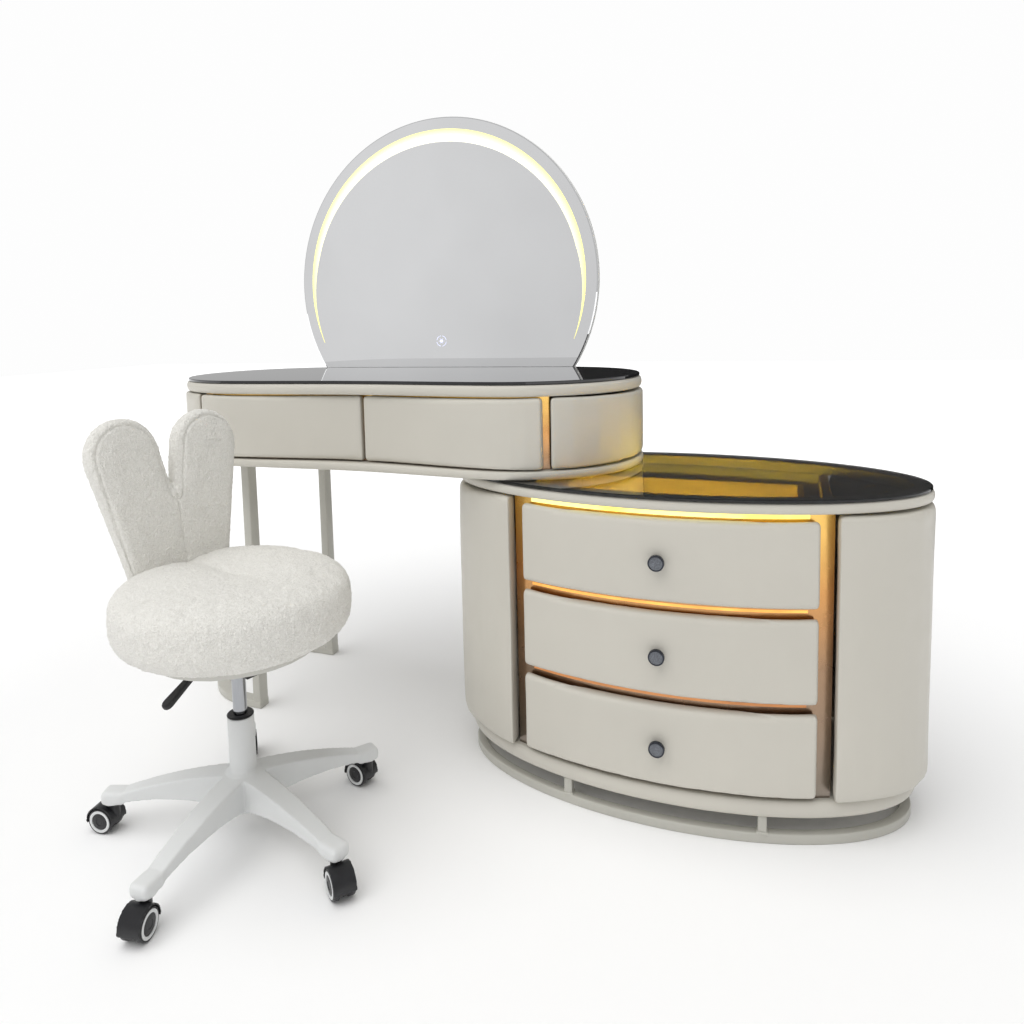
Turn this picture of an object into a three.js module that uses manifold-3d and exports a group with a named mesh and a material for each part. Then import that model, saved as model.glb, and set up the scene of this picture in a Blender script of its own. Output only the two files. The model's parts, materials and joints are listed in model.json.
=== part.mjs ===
// A dressing-table set: an oval three-drawer cabinet, a kidney-shaped desk whose right end rests on it,
// a round lit mirror that stands on the desk, and a swivel stool on a five-star base.
// Millimetres, +Z up. The drawers open towards -Y. The origin is on the floor, under the middle of the set.
import * as THREE from "three";
import { mergeVertices } from "three/addons/utils/BufferGeometryUtils.js";
import Module from "manifold-3d";

const wasm = await Module();
wasm.setup();

// ---------------------------------------------------------------- driving dimensions

// Clearances
const seatGap = 0.3; // between two pieces that rest on or butt against each other
const slideGap = 0.5; // between a drawer and the rails that carry it
const boxSideGap = 5; // between a drawer box and the side of its opening
const overcut = 1; // how far a cutting tool runs past the surface that it cuts

// Cabinet: an ellipse in plan
const cabinetLength = 842;
const cabinetDepth = 430;
const cabinetHeight = 568; // floor to the top of the glass
const cabinetInset = { front: 13, drawerFace: 4 }; // how far the drawer faces lie inside the shells
const baseRing = { inset: 26, insetDepth: 17, width: 17, height: 17 };
const basePost = { side: 14, x: 161 };
const plinth = { inset: 20, insetDepth: 11, underside: 46, thickness: 29.7, roll: 13 };
const cabinetShell = { thickness: 38, edge: 6, frontX: 262 };
const cabinetBack = { thickness: 14, inset: 3 };
const cabinetPartition = { thickness: 15 };
const cabinetRim = { inset: 2, height: 17.7, width: 34, roll: 8 };
const cabinetGlass = { inset: 8, insetDepth: 4, thickness: 6, chamfer: 1 };
const cabinetLight = { height: 6, depth: 5, above: 2 };

// Cabinet drawers, counted from the top
const drawerCount = 3;
const drawer = { halfWidth: 241, height: 140, gap: 15, bottom: 83, frontThickness: 18, edge: 5 };
const faceFrame = { setback: 20, thickness: 12, cover: 8, sideCover: 16 };
const drawerBox = { wall: 10, floor: 8, headroom: 4, backY: 150, frontGap: 0.6 };
const runner = { width: 30, height: 10, guideWidth: 7, guideDepth: 6, guideLength: 60 };
const knob = { radius: 13, thickness: 9, stemRadius: 5, stemLength: 8, rounding: 2 };

// Desk: two round ends, a straight back and a slightly hollow front
const deskPlace = { x: -589, y: 73 };
const deskLength = 1033;
const deskEndRadius = 233.5;
const deskFrontHollow = 27;
const deskHeight = 744; // floor to the top of the glass
const deskBase = { thickness: 16, roll: 7 };
const deskRim = { height: 21, width: 36, roll: 9 };
const deskGlass = { inset: 7, thickness: 6, chamfer: 1 };
const deskPanel = { thickness: 30, edge: 5 };
const deskDrawer = { leftX: -362, dividerX: 15, rightX: 378, split: 5.5, frontThickness: 18, edge: 4 };
const deskDrawerGap = { left: 3, right: 8, level: 1.5 };
const deskFrame = { setback: 20, thickness: 10, cover: 8, sideCover: 12 };
const deskDivider = { thickness: 10 };
const deskBoxBackY = 150;

// Desk leg: a bent flat tube with two posts
const leg = { endX: -349, centreY: 16, radius: 150, postX: -317 };
const legBar = { width: 30, height: 18, postWidth: 20 };

// Mirror: a disc cut flat where it stands on the desk
const mirror = { radius: 386, rise: 203, faceY: 214, glass: 4 };
const mirrorCase = { depth: 12, wall: 16, back: 4, lip: 1 };
const mirrorLight = { edge: 28, topWidth: 29, sideWidth: 12, bottomZ: -140 };
const mirrorBracket = { x: 150, width: 40, thickness: 3, reach: 60, rise: 60 };

// Stool
const stoolPlace = { x: -654, y: -436 };
const seatTurn = 75; // degrees about the column, from facing -Y
const seat = { radius: 194, bottom: 342, top: 464, edge: 54 };
const seatBoard = { radius: 138, thickness: 12 };
const backrest = { y: 135, lean: 8, footHalfWidth: 74, thickness: 36, edge: 11 };
const ear = { radius: 64, x: 80, rise: 303, notchRise: 227 };
const seatMount = { plate: 150, plateThickness: 5 };
const mountBlock = { length: 110, width: 56, height: 34, chamfer: 6 };
const lever = { y: 5, rodRadius: 4, reach: 150, droop: 32, slotDrop: 2 };
const paddle = { length: 68, width: 20, thickness: 9, edge: 2, neck: 0.6, lap: 6 }; // neck: a share of width
const piston = { radius: 9.5, sleeveRadius: 11.5, sleeveBottom: 216, bottom: 75, tip: 22 };
const column = { radius: 22, footRadius: 20.5, top: 207, bottom: 54, taper: 60, bore: 18 };
const bush = { flange: 22, flangeHeight: 3, depth: 30, lead: 2, runningGap: 0.2 };

// Star base and casters
const starBase = { phase: 55, legs: 5, reach: 228, hubRadius: 27, hubFlare: 4, hubTop: 113, hubBottom: 48 };
const starLeg = { rootWidth: 44, tipWidth: 27 };
const starCurve = { rootTop: 111, crown: 107, tipTop: 67, rootBottom: 50, arch: 80 };
const starTip = { radius: 16.5, top: 74, bottom: 52, rounding: 7 };
const caster = { wheelRadius: 22.5, wheelWidth: 12.5, spacing: 11, tread: 2.5, axleRadius: 4, trail: 18 };
const hood = { thickness: 2, gap: 1.2, web: 8, skirt: 4, neckRadius: 9, stemRadius: 5.5, stemLength: 13 };
const casterHeadings = [168, 130, 188, 280, 320]; // degrees, where each caster's wheel trails, leg by leg

// ---------------------------------------------------------------- materials

function finish(colour, roughness, metalness = 0) {
  return new THREE.MeshStandardMaterial({ color: colour, roughness, metalness });
}

const leatherette = () => finish(0xd3cfc4, 0.5);
const paintedSteel = () => finish(0xbfbdb2, 0.45, 0.3);
const bronze = () => finish(0xa8784a, 0.3, 0.9);
const tintedGlass = () => finish(0x15161a, 0.05);
const board = () => finish(0xc9b98f, 0.7);
const lamp = () => finish(0xffe770, 0.4);
const steel = () => finish(0x8f9299, 0.25, 1);
const knobMetal = () => finish(0x6c6e76, 0.4, 0.8);
const boucle = () => finish(0xf1efe8, 0.95);
const whiteNylon = () => finish(0xe4e5e3, 0.45);
const blackPlastic = () => finish(0x17181b, 0.5);
const silvering = () => finish(0xc9cbcf, 0.03, 1);

// ---------------------------------------------------------------- solids

// A closed geometry as a solid that can be cut and joined.
function solidOf(geometry) {
  const bare = new THREE.BufferGeometry();
  bare.setAttribute("position", geometry.getAttribute("position"));
  if (geometry.index) bare.setIndex(geometry.index);
  const merged = mergeVertices(bare, 1e-3);
  const vertProperties = new Float32Array(merged.getAttribute("position").array);
  const triVerts = new Uint32Array(merged.index.array);
  return new wasm.Manifold(new wasm.Mesh({ numProp: 3, vertProperties, triVerts }));
}

function geometryOf(solid) {
  const mesh = solid.getMesh();
  const geometry = new THREE.BufferGeometry();
  geometry.setAttribute("position", new THREE.BufferAttribute(new Float32Array(mesh.vertProperties), 3));
  geometry.setIndex(new THREE.BufferAttribute(new Uint32Array(mesh.triVerts), 1));
  return geometry;
}

function join(...geometries) {
  return geometryOf(geometries.map(solidOf).reduce((whole, piece) => whole.add(piece)));
}

function cut(geometry, ...tools) {
  return geometryOf(tools.map(solidOf).reduce((whole, tool) => whole.subtract(tool), solidOf(geometry)));
}

function common(geometry, ...others) {
  const start = solidOf(geometry);
  return geometryOf(others.map(solidOf).reduce((whole, other) => whole.intersect(other), start));
}

function box(x0, x1, y0, y1, z0, z1) {
  const block = new THREE.BoxGeometry(x1 - x0, y1 - y0, z1 - z0);
  return block.translate((x0 + x1) / 2, (y0 + y1) / 2, (z0 + z1) / 2);
}

function cylinder(radius, z0, z1, sides = 20) {
  return turned([[0, z0], [radius, z0], [radius, z1], [0, z1]], sides);
}

// A body of revolution about Z from [radius, z] pairs, listed from the bottom up.
function turned(profile, sides = 20) {
  const points = profile.map(([radius, z]) => new THREE.Vector2(radius, z));
  return new THREE.LatheGeometry(points, sides).rotateX(Math.PI / 2);
}

// A plate of the given outline from z0 to z1, its edges rounded by edge.
function plate(outline, z0, z1, edge = 0, hole = null, segments = 2) {
  const shape = new THREE.Shape(outline);
  if (hole) shape.holes.push(new THREE.Path(hole));
  const options = { depth: z1 - z0 - 2 * edge, steps: 1, bevelEnabled: edge > 0 };
  if (edge > 0) Object.assign(options, { bevelSize: edge, bevelThickness: edge, bevelOffset: -edge });
  options.bevelSegments = segments;
  return new THREE.ExtrudeGeometry(shape, options).translate(0, 0, z0 + edge);
}

// The same plate standing up: its outline is in X and Z, and it runs from y0 to y1.
function uprightPlate(outline, y0, y1, edge = 0, hole = null) {
  return plate(outline, -y1, -y0, edge, hole).rotateX(Math.PI / 2);
}

// ---------------------------------------------------------------- plan outlines

const cabinetOval = { a: cabinetLength / 2, b: cabinetDepth / 2 };

function inside(oval, inset, insetDepth = inset) {
  return { a: oval.a - inset, b: oval.b - insetDepth };
}

// The oval's half depth at x.
function ovalY(oval, x) {
  return oval.b * Math.sqrt(Math.max(0, 1 - (x / oval.a) ** 2));
}

function ovalOutline(oval, steps = 48) {
  return Array.from({ length: steps }, (_, i) => {
    const angle = (2 * Math.PI * i) / steps;
    return new THREE.Vector2(oval.a * Math.cos(angle), oval.b * Math.sin(angle));
  });
}

// A strip along the oval's front (side -1) or back (side 1) from x0 to x1, between two ovals.
function ovalStrip(outer, inner, x0, x1, side, steps = 14) {
  const xs = Array.from({ length: steps + 1 }, (_, i) => x0 + ((x1 - x0) * i) / steps);
  const far = xs.map((x) => new THREE.Vector2(x, side * ovalY(outer, x)));
  const near = xs.map((x) => new THREE.Vector2(x, side * ovalY(inner, x)));
  return [...far, ...near.reverse()];
}

const deskFlat = deskLength / 2 - deskEndRadius; // half the length between the round ends

// The desk's half depth at x on its back (side 1) or its hollow front (side -1).
function deskY(inset, x, side) {
  const radius = deskEndRadius - inset;
  const beyond = Math.max(0, Math.abs(x) - deskFlat);
  const hollow = beyond > 0 ? 0 : deskFrontHollow * (0.5 + 0.5 * Math.cos((Math.PI * x) / deskFlat));
  const round = Math.sqrt(Math.max(0, radius ** 2 - beyond ** 2));
  return side > 0 ? round : -round + hollow;
}

function arc(cx, cy, radius, from, to, steps) {
  return Array.from({ length: steps + 1 }, (_, i) => {
    const angle = from + ((to - from) * i) / steps;
    return new THREE.Vector2(cx + radius * Math.cos(angle), cy + radius * Math.sin(angle));
  });
}

// The desk's whole outline, moved inwards by inset.
function deskOutline(inset, endSteps = 14, frontSteps = 12) {
  const radius = deskEndRadius - inset;
  const right = arc(deskFlat, 0, radius, -Math.PI / 2, Math.PI / 2, endSteps);
  const left = arc(-deskFlat, 0, radius, Math.PI / 2, (3 * Math.PI) / 2, endSteps);
  const front = Array.from({ length: frontSteps - 1 }, (_, i) => {
    const x = -deskFlat + (2 * deskFlat * (i + 1)) / frontSteps;
    return new THREE.Vector2(x, deskY(inset, x, -1));
  });
  return [...right, ...left, ...front];
}

// A strip along the desk's front from x0 to x1 between two insets.
function deskStrip(outerInset, innerInset, x0, x1, steps = 24) {
  const xs = Array.from({ length: steps + 1 }, (_, i) => x0 + ((x1 - x0) * i) / steps);
  const far = xs.map((x) => new THREE.Vector2(x, deskY(outerInset, x, -1)));
  const near = xs.map((x) => new THREE.Vector2(x, deskY(innerInset, x, -1)));
  return [...far, ...near.reverse()];
}

// ---------------------------------------------------------------- scene graph

function place(parent, name, geometry, material) {
  const mesh = new THREE.Mesh(geometry, material);
  mesh.name = name;
  parent.add(mesh);
  return mesh;
}

const set = new THREE.Group();
const cabinet = new THREE.Group();
const desk = new THREE.Group();
const stool = new THREE.Group();
set.add(cabinet, desk, stool);
desk.position.set(deskPlace.x, deskPlace.y, 0);
stool.position.set(stoolPlace.x, stoolPlace.y, 0);

// ---------------------------------------------------------------- cabinet carcass

const shellBottom = plinth.underside + plinth.thickness + seatGap;
const rimTop = cabinetHeight - cabinetGlass.thickness - seatGap;
const rimBottom = rimTop - cabinetRim.height;
const shellTop = rimBottom - seatGap;
const faceOval = inside(cabinetOval, cabinetInset.front, cabinetInset.drawerFace);
const backOuter = inside(cabinetOval, cabinetBack.inset);
const backInner = inside(backOuter, cabinetBack.thickness);
const frameOuter = inside(faceOval, faceFrame.setback);
const frameInner = inside(frameOuter, faceFrame.thickness);
const partitionOuterX = cabinetShell.frontX - seatGap;
const partitionInnerX = partitionOuterX - cabinetPartition.thickness;

function buildBaseFrame() {
  const outer = inside(cabinetOval, baseRing.inset, baseRing.insetDepth);
  const inner = inside(outer, baseRing.width);
  const middle = inside(outer, baseRing.width / 2);
  const ring = plate(ovalOutline(outer), 0, baseRing.height, 0, ovalOutline(inner));
  const half = basePost.side / 2;
  const posts = [-1, 1].flatMap((sideX) =>
    [-1, 1].map((sideY) => {
      const x = sideX * basePost.x;
      const y = sideY * ovalY(middle, basePost.x);
      return box(x - half, x + half, y - half, y + half, baseRing.height / 2, plinth.underside - seatGap);
    }),
  );
  place(cabinet, "base_frame", join(ring, ...posts), paintedSteel());
}

function buildPlinth() {
  const oval = inside(cabinetOval, plinth.inset, plinth.insetDepth);
  const top = plinth.underside + plinth.thickness;
  const slab = plate(ovalOutline(oval), plinth.underside, top, plinth.roll);
  place(cabinet, "plinth", slab, leatherette());
}

// One padded side shell; side is 1 on the right and -1 on the left.
function buildSideShell(name, side) {
  const whole = plate(ovalOutline(cabinetOval), shellBottom, shellTop, cabinetShell.edge);
  const hollow = plate(ovalOutline(inside(cabinetOval, cabinetShell.thickness)), 0, cabinetHeight);
  const reach = cabinetOval.a + overcut;
  const near = cabinetShell.frontX;
  const rest = box(side > 0 ? -reach : -near, side > 0 ? near : reach, -reach, reach, 0, cabinetHeight);
  place(cabinet, name, cut(whole, hollow, rest), leatherette());
}

function buildCabinetBack() {
  const reach = partitionOuterX;
  const panel = plate(ovalStrip(backOuter, backInner, -reach, reach, 1), shellBottom, shellTop);
  place(cabinet, "cabinet_back", panel, leatherette());
}

function buildPartition(name, side) {
  const front = -ovalY(frameInner, partitionOuterX) + seatGap;
  const back = ovalY(backInner, partitionOuterX) - seatGap;
  const edges = [side * partitionInnerX, side * partitionOuterX];
  const panel = box(Math.min(...edges), Math.max(...edges), front, back, shellBottom, shellTop);
  place(cabinet, name, panel, board());
}

// Heights of drawer number i, counted from the top.
function drawerLevel(i) {
  const bottom = drawer.bottom + (drawerCount - 1 - i) * (drawer.height + drawer.gap);
  const top = bottom + drawer.height;
  return { bottom, top, openBottom: bottom + faceFrame.cover, openTop: top - faceFrame.cover };
}

const openingHalfWidth = drawer.halfWidth - faceFrame.sideCover;
const boxHalfWidth = openingHalfWidth - boxSideGap;

function buildFaceFrame() {
  const outline = ovalStrip(frameOuter, frameInner, -partitionOuterX, partitionOuterX, -1);
  const wall = plate(outline, shellBottom, shellTop);
  const openings = Array.from({ length: drawerCount }, (_, i) => {
    const level = drawerLevel(i);
    return box(-openingHalfWidth, openingHalfWidth, -cabinetDepth, 0, level.openBottom, level.openTop);
  });
  place(cabinet, "face_frame", cut(wall, ...openings), bronze());
}

function buildCabinetRim() {
  const outer = inside(cabinetOval, cabinetRim.inset);
  const hole = plate(ovalOutline(inside(outer, cabinetRim.width)), 0, cabinetHeight);
  const rim = plate(ovalOutline(outer), rimBottom, rimTop, cabinetRim.roll);
  place(cabinet, "cabinet_rim", cut(rim, hole), leatherette());
}

function buildCabinetGlass() {
  const oval = inside(cabinetOval, cabinetGlass.inset, cabinetGlass.insetDepth);
  const bottom = cabinetHeight - cabinetGlass.thickness;
  const sheet = plate(ovalOutline(oval), bottom, cabinetHeight, cabinetGlass.chamfer, null, 1);
  place(cabinet, "cabinet_glass", sheet, tintedGlass());
}

function buildCabinetLight() {
  const outer = inside(frameOuter, -cabinetLight.depth - seatGap);
  const inner = inside(frameOuter, -seatGap);
  const bottom = drawerLevel(0).top + cabinetLight.above;
  const outline = ovalStrip(outer, inner, -openingHalfWidth, openingHalfWidth, -1);
  place(cabinet, "cabinet_light", plate(outline, bottom, bottom + cabinetLight.height), lamp());
}

// ---------------------------------------------------------------- drawers

// An open box of the given plan outline, hollowed by the second outline.
function openBox(outline, hollow, z0, z1) {
  return cut(plate(outline, z0, z1), plate(hollow, z0 + drawerBox.floor, z1 + overcut));
}

// Two ribs under the back of a drawer box, one each side of its runner.
function guideRibs(centreX, backY, bottom) {
  const inner = runner.width / 2 + slideGap;
  return [-1, 1].map((side) => {
    const near = centreX + side * inner;
    const far = near + side * runner.guideWidth;
    const [x0, x1] = [Math.min(near, far), Math.max(near, far)];
    const frontY = backY - runner.guideLength;
    return box(x0, x1, frontY, backY, bottom - runner.guideDepth, bottom + drawerBox.floor / 2);
  });
}

function buildKnob(name, x, y, z) {
  const { radius, thickness, stemRadius, stemLength, rounding } = knob;
  const end = stemLength + thickness;
  const profile = [[0, 0], [stemRadius, 0], [stemRadius, stemLength], [radius - rounding, stemLength]];
  profile.push([radius, stemLength + rounding], [radius, end - rounding]);
  profile.push([radius - rounding, end], [0, end]);
  const geometry = turned(profile, 16).rotateX(Math.PI / 2);
  place(cabinet, name, geometry, knobMetal()).position.set(x, y - seatGap, z);
}

function buildCabinetDrawer(i) {
  const name = ["upper", "middle", "lower"][i];
  const level = drawerLevel(i);
  const innerFace = inside(faceOval, drawer.frontThickness);
  const front = ovalStrip(faceOval, innerFace, -drawer.halfWidth, drawer.halfWidth, -1, 12);
  const panel = plate(front, level.bottom, level.top, drawer.edge, null, 1);
  place(cabinet, name + "_drawer_front", panel, leatherette());

  const boxFront = inside(innerFace, drawerBox.frontGap);
  const pocketFront = inside(boxFront, drawerBox.wall);
  const bottom = level.openBottom + slideGap;
  const top = level.openTop - drawerBox.headroom;
  const outline = frontedRectangle(boxFront, boxHalfWidth, drawerBox.backY);
  const wall = drawerBox.wall;
  const pocket = frontedRectangle(pocketFront, boxHalfWidth - wall, drawerBox.backY - wall);
  const tray = join(openBox(outline, pocket, bottom, top), ...guideRibs(0, drawerBox.backY, bottom));
  place(cabinet, name + "_drawer_box", tray, board());

  const railFront = -frameInner.b + seatGap;
  const railBack = ovalY(backInner, runner.width / 2) - seatGap;
  const rail = box(-runner.width / 2, runner.width / 2, railFront + seatGap, railBack,
    level.openBottom - runner.height, level.openBottom);
  place(cabinet, name + "_drawer_runner", rail, steel());

  buildKnob(name + "_drawer_knob", 0, -faceOval.b, (level.bottom + level.top) / 2);
}

// A rectangle from the oval's front to backY, its front side following the oval.
function frontedRectangle(oval, halfWidth, backY, steps = 12) {
  const front = Array.from({ length: steps + 1 }, (_, i) => {
    const x = -halfWidth + (2 * halfWidth * i) / steps;
    return new THREE.Vector2(x, -ovalY(oval, x));
  });
  return [...front, new THREE.Vector2(halfWidth, backY), new THREE.Vector2(-halfWidth, backY)];
}

// ---------------------------------------------------------------- desk

const deskBottom = cabinetHeight + seatGap;
const deskBaseTop = deskBottom + deskBase.thickness;
const deskRimTop = deskHeight - deskGlass.thickness - seatGap;
const deskRimBottom = deskRimTop - deskRim.height;
const panelBottom = deskBaseTop + seatGap;
const panelTop = deskRimBottom - seatGap;
const deskLevel = { bottom: deskBaseTop + deskDrawerGap.level, top: deskRimBottom - deskDrawerGap.level };
const deskOpening = { bottom: deskLevel.bottom + deskFrame.cover, top: deskLevel.top - deskFrame.cover };
const deskFrameBack = deskFrame.setback + deskFrame.thickness;
const leftEndX = deskDrawer.leftX - deskDrawerGap.left;
const rightEndX = deskDrawer.rightX + deskDrawerGap.right;

function buildDeskTopAndBase() {
  const base = plate(deskOutline(0), deskBottom, deskBaseTop, deskBase.roll);
  place(desk, "desk_base", base, leatherette());
  const rim = plate(deskOutline(0), deskRimBottom, deskRimTop, deskRim.roll);
  const hole = plate(deskOutline(deskRim.width), 0, deskHeight);
  place(desk, "desk_rim", cut(rim, hole), leatherette());
  const glassBottom = deskHeight - deskGlass.thickness;
  const sheet = plate(deskOutline(deskGlass.inset), glassBottom, deskHeight, deskGlass.chamfer, null, 1);
  place(desk, "desk_glass", sheet, tintedGlass());
}

// One round end: everything beyond frontX on the front side and beyond the straight back on the other.
function buildDeskEnd(name, side, frontX) {
  const whole = plate(deskOutline(0), panelBottom, panelTop, deskPanel.edge);
  const hollow = plate(deskOutline(deskPanel.thickness), 0, deskHeight);
  const far = deskLength;
  const beyond = (x, y0, y1) => box(side > 0 ? -far : x, side > 0 ? x : far, y0, y1, 0, deskHeight);
  const front = beyond(frontX, -far, 0);
  const back = beyond(side * deskFlat, -overcut, far);
  place(desk, name, cut(whole, hollow, front, back), leatherette());
}

function buildDeskBack() {
  const reach = deskFlat - seatGap;
  const inner = deskEndRadius - deskPanel.thickness;
  place(desk, "desk_back", box(-reach, reach, inner, deskEndRadius, panelBottom, panelTop), leatherette());
}

function buildDeskFrame(openings) {
  const outline = deskStrip(deskFrame.setback, deskFrameBack, leftEndX + seatGap, rightEndX - seatGap);
  const wall = plate(outline, panelBottom, panelTop);
  const { bottom, top } = deskOpening;
  const holes = openings.map(({ x0, x1 }) => box(x0, x1, -deskLength, 0, bottom, top));
  place(desk, "desk_face_frame", cut(wall, ...holes), bronze());
}

function buildDeskDivider() {
  const half = deskDivider.thickness / 2;
  const front = deskY(deskFrameBack, deskDrawer.dividerX, -1) + 2 * seatGap;
  const back = deskEndRadius - deskPanel.thickness - seatGap;
  const x = deskDrawer.dividerX;
  place(desk, "desk_divider", box(x - half, x + half, front, back, panelBottom, panelTop), board());
}

function buildDeskDrawer(name, x0, x1, opening) {
  const front = deskStrip(0, deskDrawer.frontThickness, x0, x1, 14);
  const panel = plate(front, deskLevel.bottom, deskLevel.top, deskDrawer.edge, null, 1);
  place(desk, name + "_front", panel, leatherette());

  const left = opening.x0 + boxSideGap;
  const right = opening.x1 - boxSideGap;
  const frontInset = deskDrawer.frontThickness + drawerBox.frontGap;
  const outline = deskBoxOutline(frontInset, left, right, deskBoxBackY);
  const wall = drawerBox.wall;
  const pocket = deskBoxOutline(frontInset + wall, left + wall, right - wall, deskBoxBackY - wall);
  const bottom = deskOpening.bottom + slideGap;
  const top = deskOpening.top - drawerBox.headroom;
  const centre = (left + right) / 2;
  const tray = join(openBox(outline, pocket, bottom, top), ...guideRibs(centre, deskBoxBackY, bottom));
  place(desk, name + "_box", tray, board());

  const half = runner.width / 2;
  const nearFrame = Math.max(...[centre - half, centre + half].map((x) => deskY(deskFrameBack, x, -1)));
  const railBack = deskEndRadius - deskPanel.thickness - seatGap;
  const railFront = nearFrame + 2 * seatGap;
  const rail = box(centre - half, centre + half, railFront, railBack, panelBottom, deskOpening.bottom);
  place(desk, name + "_runner", rail, steel());
}

// A drawer box in plan: its front follows the desk's front at the given inset.
function deskBoxOutline(inset, x0, x1, backY, steps = 14) {
  const front = Array.from({ length: steps + 1 }, (_, i) => {
    const x = x0 + ((x1 - x0) * i) / steps;
    return new THREE.Vector2(x, deskY(inset, x, -1));
  });
  return [...front, new THREE.Vector2(x1, backY), new THREE.Vector2(x0, backY)];
}

// The leg: two flat bars bent in a half circle, one under the desk and one on the floor, and two posts.
function buildLegFrame() {
  const half = legBar.width / 2;
  const { endX, centreY, radius } = leg;
  const postEnd = leg.postX + legBar.postWidth / 2;
  const outer = arc(endX, centreY, radius + half, Math.PI / 2, (3 * Math.PI) / 2, 14);
  const inner = arc(endX, centreY, radius - half, Math.PI / 2, (3 * Math.PI) / 2, 14).reverse();
  const tail = (side, offset) => new THREE.Vector2(postEnd, centreY + side * (radius + offset));
  const bend = [tail(1, half), ...outer, tail(-1, half), tail(-1, -half), ...inner, tail(1, -half)];
  const top = deskBottom - seatGap;
  const bars = [plate(bend, 0, legBar.height), plate(bend, top - legBar.height, top)];
  const posts = [-1, 1].map((side) => {
    const y = centreY + side * radius;
    const x = leg.postX;
    const reach = legBar.postWidth / 2;
    return box(x - reach, x + reach, y - half, y + half, legBar.height / 2, top - legBar.height / 2);
  });
  place(desk, "leg_frame", join(...bars, ...posts), paintedSteel());
}

// ---------------------------------------------------------------- mirror

// A disc of the given radius round the mirror's centre, cut flat at bottomZ, in X and Z.
function mirrorOutline(radius, bottomZ, steps = 40) {
  const centre = deskHeight + mirror.rise;
  const low = Math.asin((bottomZ - centre) / radius);
  return arc(0, centre, radius, low, Math.PI - low, steps);
}

// The light's crescent: widest at the top, narrow where it ends at each side.
function crescentOutline(growth, steps = 24) {
  const { edge, topWidth, sideWidth } = mirrorLight;
  const drop = (topWidth - sideWidth) * (2 / 3);
  const outer = mirror.radius - edge + growth;
  const inner = mirror.radius - edge - (topWidth - drop) - growth;
  const bottom = mirrorLight.bottomZ - growth;
  const outerLow = Math.asin(bottom / outer);
  const innerLow = Math.asin((bottom + drop) / inner);
  const centre = deskHeight + mirror.rise;
  const upper = arc(0, centre, outer, outerLow, Math.PI - outerLow, steps);
  const lower = arc(0, centre - drop, inner, innerLow, Math.PI - innerLow, steps);
  return [...upper, ...lower.reverse()];
}

function buildMirror() {
  const front = mirror.faceY;
  const back = front + mirror.glass;
  const standing = deskHeight + seatGap;
  const sheet = uprightPlate(mirrorOutline(mirror.radius - mirrorCase.lip, standing), front, back);
  const slot = uprightPlate(crescentOutline(seatGap), front - overcut, back + overcut);
  place(desk, "mirror_glass", cut(sheet, slot), silvering());
  place(desk, "mirror_light", uprightPlate(crescentOutline(0), front, back), lamp());

  const caseFront = back + seatGap;
  const caseEnd = caseFront + mirrorCase.depth;
  const shell = uprightPlate(mirrorOutline(mirror.radius, standing), caseFront, caseEnd);
  const wall = mirrorCase.wall;
  const pocketOutline = mirrorOutline(mirror.radius - wall, standing + wall);
  const pocket = uprightPlate(pocketOutline, caseFront - overcut, caseEnd - mirrorCase.back);
  const brackets = [-1, 1].map((side) => {
    const x = side * mirrorBracket.x;
    const y = deskEndRadius + seatGap;
    const half = mirrorBracket.width / 2;
    const top = deskHeight + mirrorBracket.rise;
    const { thickness, reach, rise } = mirrorBracket;
    const strap = box(x - half, x + half, y, y + thickness, deskHeight - reach, top);
    const root = box(x - half, x + half, caseEnd - overcut, y + overcut, deskHeight + rise / 3, top);
    return join(strap, root);
  });
  place(desk, "mirror_case", join(cut(shell, pocket), ...brackets), finish(0xe9e9e6, 0.5));
}

// ---------------------------------------------------------------- stool

const seatGroup = new THREE.Group();
seatGroup.rotation.z = THREE.MathUtils.degToRad(seatTurn);
stool.add(seatGroup);

const boardBottom = seat.bottom - seatGap - seatBoard.thickness;
const plateTop = boardBottom - seatGap;
const plateBottom = plateTop - seatMount.plateThickness;
const blockBottom = plateBottom - mountBlock.height;
const pistonClearance = 10; // below the rod in its column when the seat is lowest

// The two ears in their own plane: X across, Y up from the foot.
function backrestOutline(growth) {
  const foot = backrest.footHalfWidth + growth;
  const { radius, x, rise, notchRise } = ear;
  const outerAngle = tangentAngle(foot, 0, x, rise, radius, 1);
  const innerAngle = tangentAngle(0, notchRise, x, rise, radius, -1);
  const right = arc(x, rise, radius, outerAngle, innerAngle, 12);
  const left = right.map((point) => new THREE.Vector2(-point.x, point.y)).reverse();
  const at = (px, py) => new THREE.Vector2(px, py);
  return [at(foot, -growth), ...right, at(0, notchRise), ...left, at(-foot, -growth)];
}

// The angle on a circle where the line from a point below touches it, on its right (1) or left (-1) side.
function tangentAngle(px, py, cx, cy, radius, side) {
  const towards = Math.atan2(py - cy, px - cx);
  const spread = Math.acos(radius / Math.hypot(px - cx, py - cy));
  const angle = towards + side * spread;
  return side > 0 ? angle : angle + 2 * Math.PI;
}

function backrestBody(growth) {
  const half = backrest.thickness / 2 + growth;
  const lean = THREE.MathUtils.degToRad(backrest.lean);
  const body = uprightPlate(backrestOutline(growth), -half, half, growth ? 0 : backrest.edge);
  return body.rotateX(-lean).translate(0, backrest.y, seat.bottom);
}

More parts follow.
